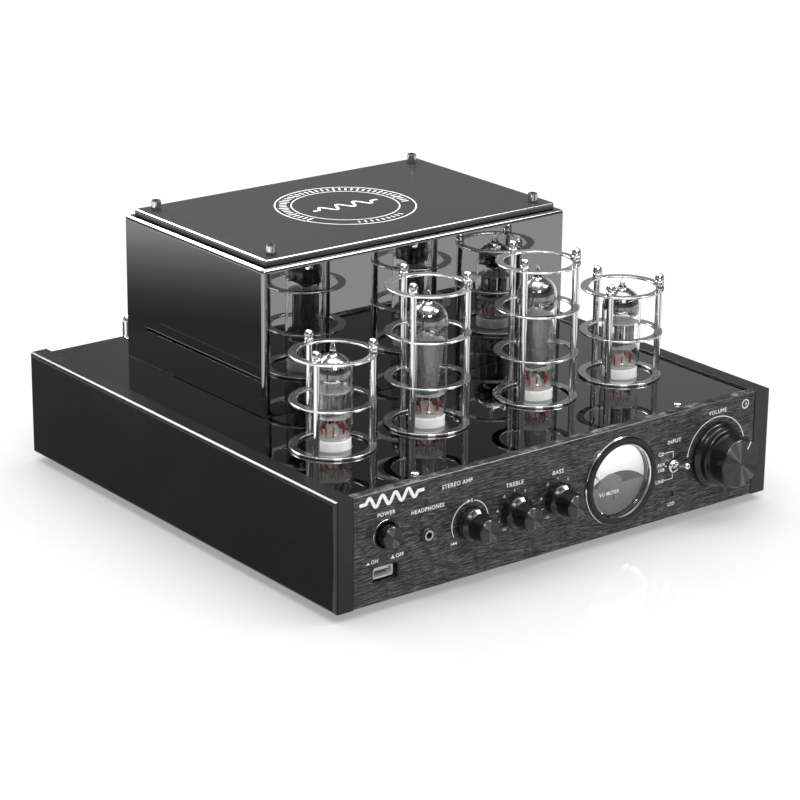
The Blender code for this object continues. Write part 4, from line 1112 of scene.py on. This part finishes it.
def text(bm, words, height, x, y, index=0):
    """Adds flat lettering with capitals of this height, centred on (x, y), in millimetres."""
    curve = bpy.data.curves.new("letters", "FONT")
    curve.body = words
    curve.size = height * MM / 0.7
    curve.space_character = 1.12
    curve.offset = 0.045 * MM
    curve.align_x = "CENTER"
    curve.align_y = "CENTER"
    curve.resolution_u = 3
    curve.extrude = PRINT_DEPTH / 2
    letters = bpy.data.objects.new("letters", curve)
    bpy.context.scene.collection.objects.link(letters)
    bpy.context.view_layer.update()
    mesh = bpy.data.meshes.new_from_object(letters.evaluated_get(bpy.context.evaluated_depsgraph_get()))
    mesh.transform(moved((x * MM, y * MM, PRINT_DEPTH / 2)))
    bm.from_mesh(mesh)
    bpy.data.objects.remove(letters)
    bpy.data.meshes.remove(mesh)
    bpy.data.curves.remove(curve)


def stroke(bm, points, width):
    """Adds a flat line through points, in millimetres."""
    points = [Vector(p) for p in points]
    for a, b in zip(points, points[1:]):
        ahead = (b - a).normalized()
        side = Vector((-ahead.y, ahead.x)) * width / 2
        a, b = a - ahead * width * 0.3, b + ahead * width * 0.3
        outline = [a - side, b - side, b + side, a + side]
        prism(bm, [(p.x * MM, p.y * MM) for p in outline], 0, PRINT_DEPTH)


def arc_stroke(bm, x, y, radius, start, end, width, steps=40):
    """Adds a flat arc, angles in degrees clockwise from the top."""
    angles = [math.radians(start + (end - start) * i / steps) for i in range(steps + 1)]
    for a, b in zip(angles, angles[1:]):
        inner, outer = radius - width / 2, radius + width / 2
        outline = [
            (x + inner * math.sin(a), y + inner * math.cos(a)), (x + inner * math.sin(b), y + inner * math.cos(b)),
            (x + outer * math.sin(b), y + outer * math.cos(b)), (x + outer * math.sin(a), y + outer * math.cos(a)),
        ]
        prism(bm, mm(outline), 0, PRINT_DEPTH)


def triangle(bm, x, y, size, way):
    """A play-style arrow head pointing right (1) or left (-1)."""
    outline = [(x - way * size / 2, y - size / 2), (x + way * size / 2, y), (x - way * size / 2, y + size / 2)]
    if way < 0:
        outline.reverse()
    prism(bm, mm(outline), 0, PRINT_DEPTH)


def make_legends():
    """All the printing on the front panel. x is from the panel's middle and y from the casing's bottom edge."""
    bm = bmesh.new()
    power, phones = centre("power_button").x / MM, centre("headphone_jack").x / MM
    track, treble, bass = (centre(k).x / MM for k in ("track_knob", "treble_knob", "bass_knob"))
    switch, volume = centre("input_switch").x / MM, centre("volume_knob").x / MM
    middle = (CONTROL_Z - BASE_Z) / MM
    wave(bm, 42 * MM, 5.4 * MM, 1.9 * MM, 4.0, moved((-117.5 * MM, 57 * MM, 0)), PRINT_DEPTH)
    for words, height, x, y in (
        ("STEREO AMP", 2.3, -74.5, 55.0), ("POWER", 2.2, power, 49.0), ("ON", 2.0, power - 7.4, 24.0),
        ("OFF", 2.0, power + 9.0, 24.0), ("HEADPHONES", 2.2, phones + 0.3, 45.3), ("INPUT", 2.3, switch + 0.5, 45.4),
        ("CD", 2.0, switch - 9.0, 39.5), ("AUX", 1.8, switch - 8.8, 33.4), ("USB", 1.8, switch - 8.6, 30.1),
        ("LINE", 2.0, switch - 9.4, 23.4), ("LED", 2.0, switch, 8.3), ("VOLUME", 2.3, volume, 56.1),
        ("TREBLE", 2.4, treble, middle + 14.9), ("BASS", 2.4, bass, middle + 14.9),
    ):
        text(bm, words, height, x, y)
    for x, up in ((power - 11.6, 0.5), (power + 4.4, 1.2)):
        stroke(bm, [(x - 1.3, 23.3), (x + 1.3, 23.3)], 0.3)
        prism(bm, mm([(x - 0.9, 23.5), (x + 0.9, 23.5), (x, 24.2 + up)]), 0, PRINT_DEPTH)
    arc_stroke(bm, track, middle, 12.3, -118, -8, 0.45)
    arc_stroke(bm, track, middle, 12.3, 12, 96, 0.45)
    triangle(bm, track - 0.9, middle + 12.4, 2.0, 1)
    for dx in (0.6, 1.3):
        stroke(bm, [(track + dx, middle + 11.5), (track + dx, middle + 13.3)], 0.35)
    for way in (-1, 1):
        for dx in (9.7, 11.4):
            triangle(bm, track + way * dx, middle - 9.6, 1.8, way)
        stroke(bm, [(track + way * 12.6, middle - 10.4), (track + way * 12.6, middle - 8.8)], 0.35)
    scale = ((-145, "-10"), (-112, ""), (-80, "-6"), (-38, "-2"), (38, "2"), (80, "6"), (112, ""), (145, "10"))
    for x in (treble, bass):
        for angle, label in scale:
            across, up = math.sin(math.radians(angle)), math.cos(math.radians(angle))
            if label:
                text(bm, label, 1.35, x + 11.9 * across, middle + 11.9 * up)
            else:
                stroke(bm, [(x + r * across, middle + r * up) for r in (10.6, 11.6)], 0.35)
        stroke(bm, [(x, middle + 10.8), (x, middle + 12.0)], 0.4)
    stroke(bm, [(switch - 6.0, 39.7), (switch + 0.1, 39.7), (switch + 0.1, 36.0)], 0.4)
    stroke(bm, [(switch - 5.8, 31.8), (switch - 4.6, 31.8)], 0.4)
    stroke(bm, [(switch - 6.0, 23.6), (switch + 0.1, 23.6), (switch + 0.1, 26.4)], 0.4)
    arc_stroke(bm, volume, middle, 22.0, -82, 75, 0.5, 60)
    arc_stroke(bm, volume, middle, 22.0, -83, -79, 1.1, 4)
    icon = (134.3, 56.4)
    arc_stroke(bm, *icon, 2.5, 0, 360, 0.55, 36)
    for radius in (0.6, 1.35):
        arc_stroke(bm, icon[0] - 0.6, icon[1], radius, 40, 140, 0.4, 10)
    piece("front_legends", bm, PRINT, "chassis", matrix=moved((0, FRONT_Y, BASE_Z)) @ FROM_FRONT)


# ---- rear and inside ----
def make_inlet():
    place = centre("ac_inlet")
    matrix = on_rear(place.x, place.z)
    bm = bmesh.new()
    frame_ring(bm, (45.6, 27.6), (24.8, 17.0), 3.2, 3.3, 0.35)
    frame_ring(bm, (27.6, 19.8), (24.8, 17.0), 1.6, 0.6, -19.2)
    block_mm(bm, (27.4, 19.6, 1.6), (0, 0, -18.2), 0.2, 1)
    piece("inlet_body", bm, BLACK_PLASTIC, "chassis", ["ac_inlet"], matrix)
    bm = bmesh.new()
    for x, y in ((7, -2), (0, 2), (-7, -2)):
        block_mm(bm, (2, 4, 12), (x, y, -11.6), 0.6, 3)
    piece("inlet_blades", bm, NICKEL, "chassis", matrix=matrix)


def make_line_jacks():
    place = centre("line_jacks")
    matrix = on_rear(place.x, CONTROL_Z)
    bm = bmesh.new()
    block_mm(bm, (78, 36, 2), (0, 0, 1.3), 0.6, 3)
    block_mm(bm, (70, 28, 13), (0, 0, -6.3), 0.4, 1)
    for x in (-25, 0, 25):
        for y, colour in ((9, 2), (-9, 3)):
            at = moved((x * MM, y * MM, 0))
            collar = [(4.3, 3.4), (6.6, 3.4), (6.9, 3.0), (6.9, 2.2), (4.3, 2.2)]
            turn(bm, round_corners(mm(collar), 0.25 * MM, 2, True), 48, at, colour, True)
            sleeve = [(3.3, 10.8), (4.0, 10.8), (4.1, 10.4), (4.1, 2.3), (3.3, 2.3)]
            turn(bm, mm(sleeve), 48, at, 1, True)
            core = [(1.7, 10.2), (3.25, 10.2), (3.25, 2.3), (1.7, 2.3)]
            turn(bm, mm(core), 48, at, 3 if colour == 3 else 4, True)
    piece(
        "phono_block", bm, [BLACK_PLASTIC, BRASS, RED_PLASTIC, CERAMIC, RED_PLASTIC], "chassis",
        ["line_jacks"], matrix,
    )


def make_terminals():
    place = centre("speaker_terminals")
    matrix = on_rear(place.x, CONTROL_Z)
    names = [side + "_" + pole for side in ("right", "left") for pole in ("negative", "positive")]
    offsets = {name: place.x - centre("terminal_cap_" + name).x for name in names}
    bm = bmesh.new()
    block_mm(bm, (84, 20, 3), (0, 0, 1.8), 0.7, 3)
    block_mm(bm, (76, 10, 7), (0, 0, -3), 0.3, 1)
    for name, x in offsets.items():
        at = moved((x, 0, 0))
        collar = [(0, 7.4), (4.6, 7.4), (4.95, 7.0), (4.95, 3.4), (0, 3.4)]
        turn(bm, mm(collar), 48, at, 1 if "positive" in name else 0)
        turn(bm, mm([(0, 17.3), (1.7, 17.3), (1.85, 17), (1.85, 6), (0, 6)]), 32, at, 2)
    piece(
        "terminal_strip", bm, [BLACK_PLASTIC, RED_PLASTIC, BRASS], "chassis", ["speaker_terminals"],
        matrix,
    )
    for name in offsets:
        make_terminal_cap(name)


def make_terminal_cap(name):
    node = "terminal_cap_" + name
    low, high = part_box(node)
    place = (low + high) / 2
    base, end = (low.y - REAR_Y) / MM, (high.y - REAR_Y) / MM
    steps = 72
    bm = bmesh.new()
    rows = []
    for z, radius, knurl in (
        (end, 5.0, 0), (end - 0.7, 5.55, 0), (end - 1.6, 5.6, 0.22), (base + 1.6, 5.6, 0.22),
        (base + 0.9, 5.4, 0), (base, 5.2, 0), (base, 2.3, 0), (end, 2.3, 0),
    ):
        radii = [(radius - (knurl if i % 4 < 2 else 0)) * MM for i in range(steps)]
        rows.append([bm.verts.new((r * p.x, r * p.y, z * MM)) for r, p in zip(radii, circle(1, 0, steps))])
    skin(bm, rows, closed=True)
    look = RED_PLASTIC if "positive" in name else BLACK_PLASTIC
    piece("cap_" + name, bm, look, node, [node], on_rear(place.x, CONTROL_Z), 30)


def make_antenna():
    pivot = pivot_of("antenna_swivel")
    top = (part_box("antenna")[1].z - pivot.z) / MM
    bm = bmesh.new()
    radius = 4.1
    angles = [math.radians(80 - 10 * i) for i in range(9)]
    profile = [(0, top)] + [(radius * math.cos(a), top - radius + radius * math.sin(a)) for a in angles]
    profile += [(4.1, 2.5), (3.7, 2.0), (4.1, 1.5), (4.1, -5.6), (3.6, -5.9), (0, -5.9)]
    turn(bm, mm(profile), 64, moved((0, 14 * MM, 0)))
    lie = Matrix.Rotation(-math.pi / 2, 4, "X")
    barrel = [(0, 13.5), (3.6, 13.5), (3.7, 6.2), (3.2, 5.8), (3.7, 5.4), (3.7, 0.4), (2.8, 0.4), (2.8, -6), (0, -6)]
    turn(bm, mm(barrel), 48, lie)
    piece("antenna_stub", bm, CHROME, "antenna", ["antenna"], moved(pivot), 40)


def finish_inside():
    keep("rear_panel", SHEET_BLACK)
    keep("bottom_plate", SHEET_BLACK)
    for node in ("power_transformer", "output_transformer_left", "output_transformer_right"):
        keep(node, CORE_STEEL)
    for node in ("main_board", "control_board"):
        keep(node, BOARD_GREEN)


# ---- studio ----
def make_camera():
    data = bpy.data.cameras.new("camera")
    camera = bpy.data.objects.new("camera", data)
    bpy.context.scene.collection.objects.link(camera)
    data.sensor_width = 36
    data.lens = 125.24
    data.shift_x = 0.06595
    data.shift_y = -0.0181
    data.clip_start, data.clip_end = 0.05, 50
    azimuth, elevation, roll = (math.radians(a) for a in (36.738, 18.854, 0.235))
    camera.location = (-0.9348, FRONT_Y - 1.05595, 0.5787)
    aim = Matrix.Rotation(-azimuth, 3, "Z") @ Matrix.Rotation(math.pi / 2 - elevation, 3, "X")
    camera.rotation_euler = (aim @ Matrix.Rotation(roll, 3, "Z")).to_euler()
    bpy.context.scene.camera = camera


def lamp(name, place, target, size, power):
    data = bpy.data.lights.new(name, "AREA")
    data.shape = "RECTANGLE"
    data.size, data.size_y = size
    data.energy = power
    made = bpy.data.objects.new(name, data)
    bpy.context.scene.collection.objects.link(made)
    made.location = place
    made.rotation_euler = (Vector(target) - Vector(place)).to_track_quat("-Z", "Y").to_euler()


def make_floor():
    bm = bmesh.new()
    bmesh.ops.create_grid(bm, x_segments=1, y_segments=1, size=14)
    mesh = mesh_of(bm, "floor")
    look = Look("floor", 0.12, 0.12)
    # Painted shadow and painted reflection: the floor's glow is darkened by ambient occlusion near the amplifier,
    # leaning so that its left side is shaded most.
    leaning = Vector((0.45, -0.45, 0.8)).normalized()
    painted_floor_shade = look.node("AmbientOcclusion", {"Distance": 0.3, "Normal": leaning}, samples=12).outputs["AO"]
    look.feed("Emission Color", look.colours(painted_floor_shade, (0.3, 0.34), (0.65, 0.61), (0.96, 0.82)))
    look.set("Emission Strength", 1.0)
    mesh.materials.append(look.material)
    floor = bpy.data.objects.new("floor", mesh)
    bpy.context.scene.collection.objects.link(floor)
    floor.location.z = CAD_BOX[0].z
    floor.visible_glossy = False


def make_world():
    """Studio surroundings: bright behind and to the right, dark towards the camera, bright overhead."""
    world = bpy.data.worlds.new("studio")
    bpy.context.scene.world = world
    world.use_nodes = True
    tree = world.node_tree
    tree.nodes.clear()

    def node(kind, inputs=None, **settings):
        return add_node(tree, kind, inputs or {}, settings)

    way = node("SeparateXYZ", {0: node("TexCoord").outputs["Generated"]})
    x, y, z = way.outputs

    def smooth(value, start, end, low, high):
        inputs = {"Value": value, "From Min": start, "From Max": end, "To Min": low, "To Max": high}
        return node("MapRange", inputs, interpolation_type="SMOOTHSTEP").outputs[0]

    def maths(operation, a, b):
        return node("Math", {0: a, 1: b}, operation=operation).outputs[0]

    # Below the horizon: a table that is dark near by and brighter further off, evenly lit in front on the right.
    distance = node("MapRange", {"Value": z, "From Min": -0.34, "From Max": -0.24}).outputs[0]
    ramp = node("ValToRGB", {"Fac": distance})
    stops = ((0.0, 0.09), (0.32, 0.065), (0.43, 0.13), (0.53, 0.29), (0.615, 0.50), (0.72, 0.86), (1.0, 1.2))
    fill_ramp(ramp.color_ramp, stops)
    behind = maths("MULTIPLY", ramp.outputs[0], smooth(y, 0.2, 0.6, 0.0, 1.0))
    in_front = maths("MULTIPLY", smooth(x, 0.30, 0.50, 0.0, 1.03), smooth(y, 0.0, 0.3, 1.0, 0.0))
    in_front = maths("MULTIPLY", in_front, smooth(z, -0.42, -0.36, 0.1, 1.0))
    at_left = smooth(x, -0.72, -0.88, 0.0, 1.3)
    towards_camera = maths("ADD", maths("MULTIPLY", x, -0.597), maths("MULTIPLY", y, -0.802))
    near_side = maths("MAXIMUM", smooth(towards_camera, 0.70, 0.84, 0.0, 1.1), smooth(z, -0.48, -0.6, 0.0, 0.9))
    low_part = maths("ADD", maths("ADD", behind, in_front), maths("ADD", at_left, maths("MAXIMUM", near_side, 0.02)))
    # Above it: dim at the horizon, dimmest a little higher, bright overhead.
    inputs = {"Value": z, "From Min": 0.28, "From Max": 0.36, "To Min": 0.25, "To Max": 0.12}
    haze = node("MapRange", inputs).outputs[0]
    haze = maths("ADD", haze, smooth(x, -0.45, -0.1, 0.08, 0.0))
    right_glow = maths("MULTIPLY", smooth(z, 0.365, 0.345, 0.0, 0.13), smooth(x, 0.48, 0.56, 0.0, 1.0))
    haze = maths("ADD", haze, right_glow)
    high_part = maths("ADD", haze, smooth(z, 0.5, 0.9, 0.0, 1.0))
    level = node("Mix", {"Factor": smooth(z, -0.12, 0.08, 0, 1), "A": low_part, "B": high_part}, data_type="FLOAT")
    background = node("Background", {"Strength": level.outputs[0]})
    output = node("OutputWorld")
    tree.links.new(background.outputs[0], output.inputs["Surface"])


def make_studio():
    make_camera()
    make_floor()
    make_world()
    lamp("top", (0.2, 0.1, 2.6), (0, 0, 0), (2.0, 2.0), 60)
    lamp("back_left", (-0.12, 1.55, 1.32), (0, 0, 0.1), (1.6, 0.5), 40)
    lamp("front_right", (1.1, -0.8, 1.8), (0, 0, 0.08), (0.6, 0.6), 26)
    lamp("camera_side", (-0.7, -1.7, 1.7), (0, 0, 0.08), (0.7, 0.7), 26)
    bpy.context.scene.view_settings.view_transform = "Standard"


# ---- the amplifier ----
make_side("side_panel_left", -1)
make_side("side_panel_right", 1)
make_front_panel()
make_deck()
make_cover()
make_lid()
make_cover_screws()
make_small_screws()
make_feet()
for tube_name, (tube_place, tube_tall) in TUBES.items():
    make_guard(tube_name, tube_place, tube_tall)
    make_socket(tube_name, tube_place)
    make_envelope(tube_name, tube_place, tube_tall)
    make_electrodes(tube_name, tube_place, tube_tall)
make_small_knob("track_knob", "track_dial")
make_small_knob("treble_knob", "treble_dial")
make_small_knob("bass_knob", "bass_dial")
make_volume_knob()
make_power()
make_phones()
make_usb()
make_led()
make_toggle()
make_meter()
make_legends()
make_inlet()
make_line_jacks()
make_terminals()
make_antenna()
finish_inside()
make_studio()
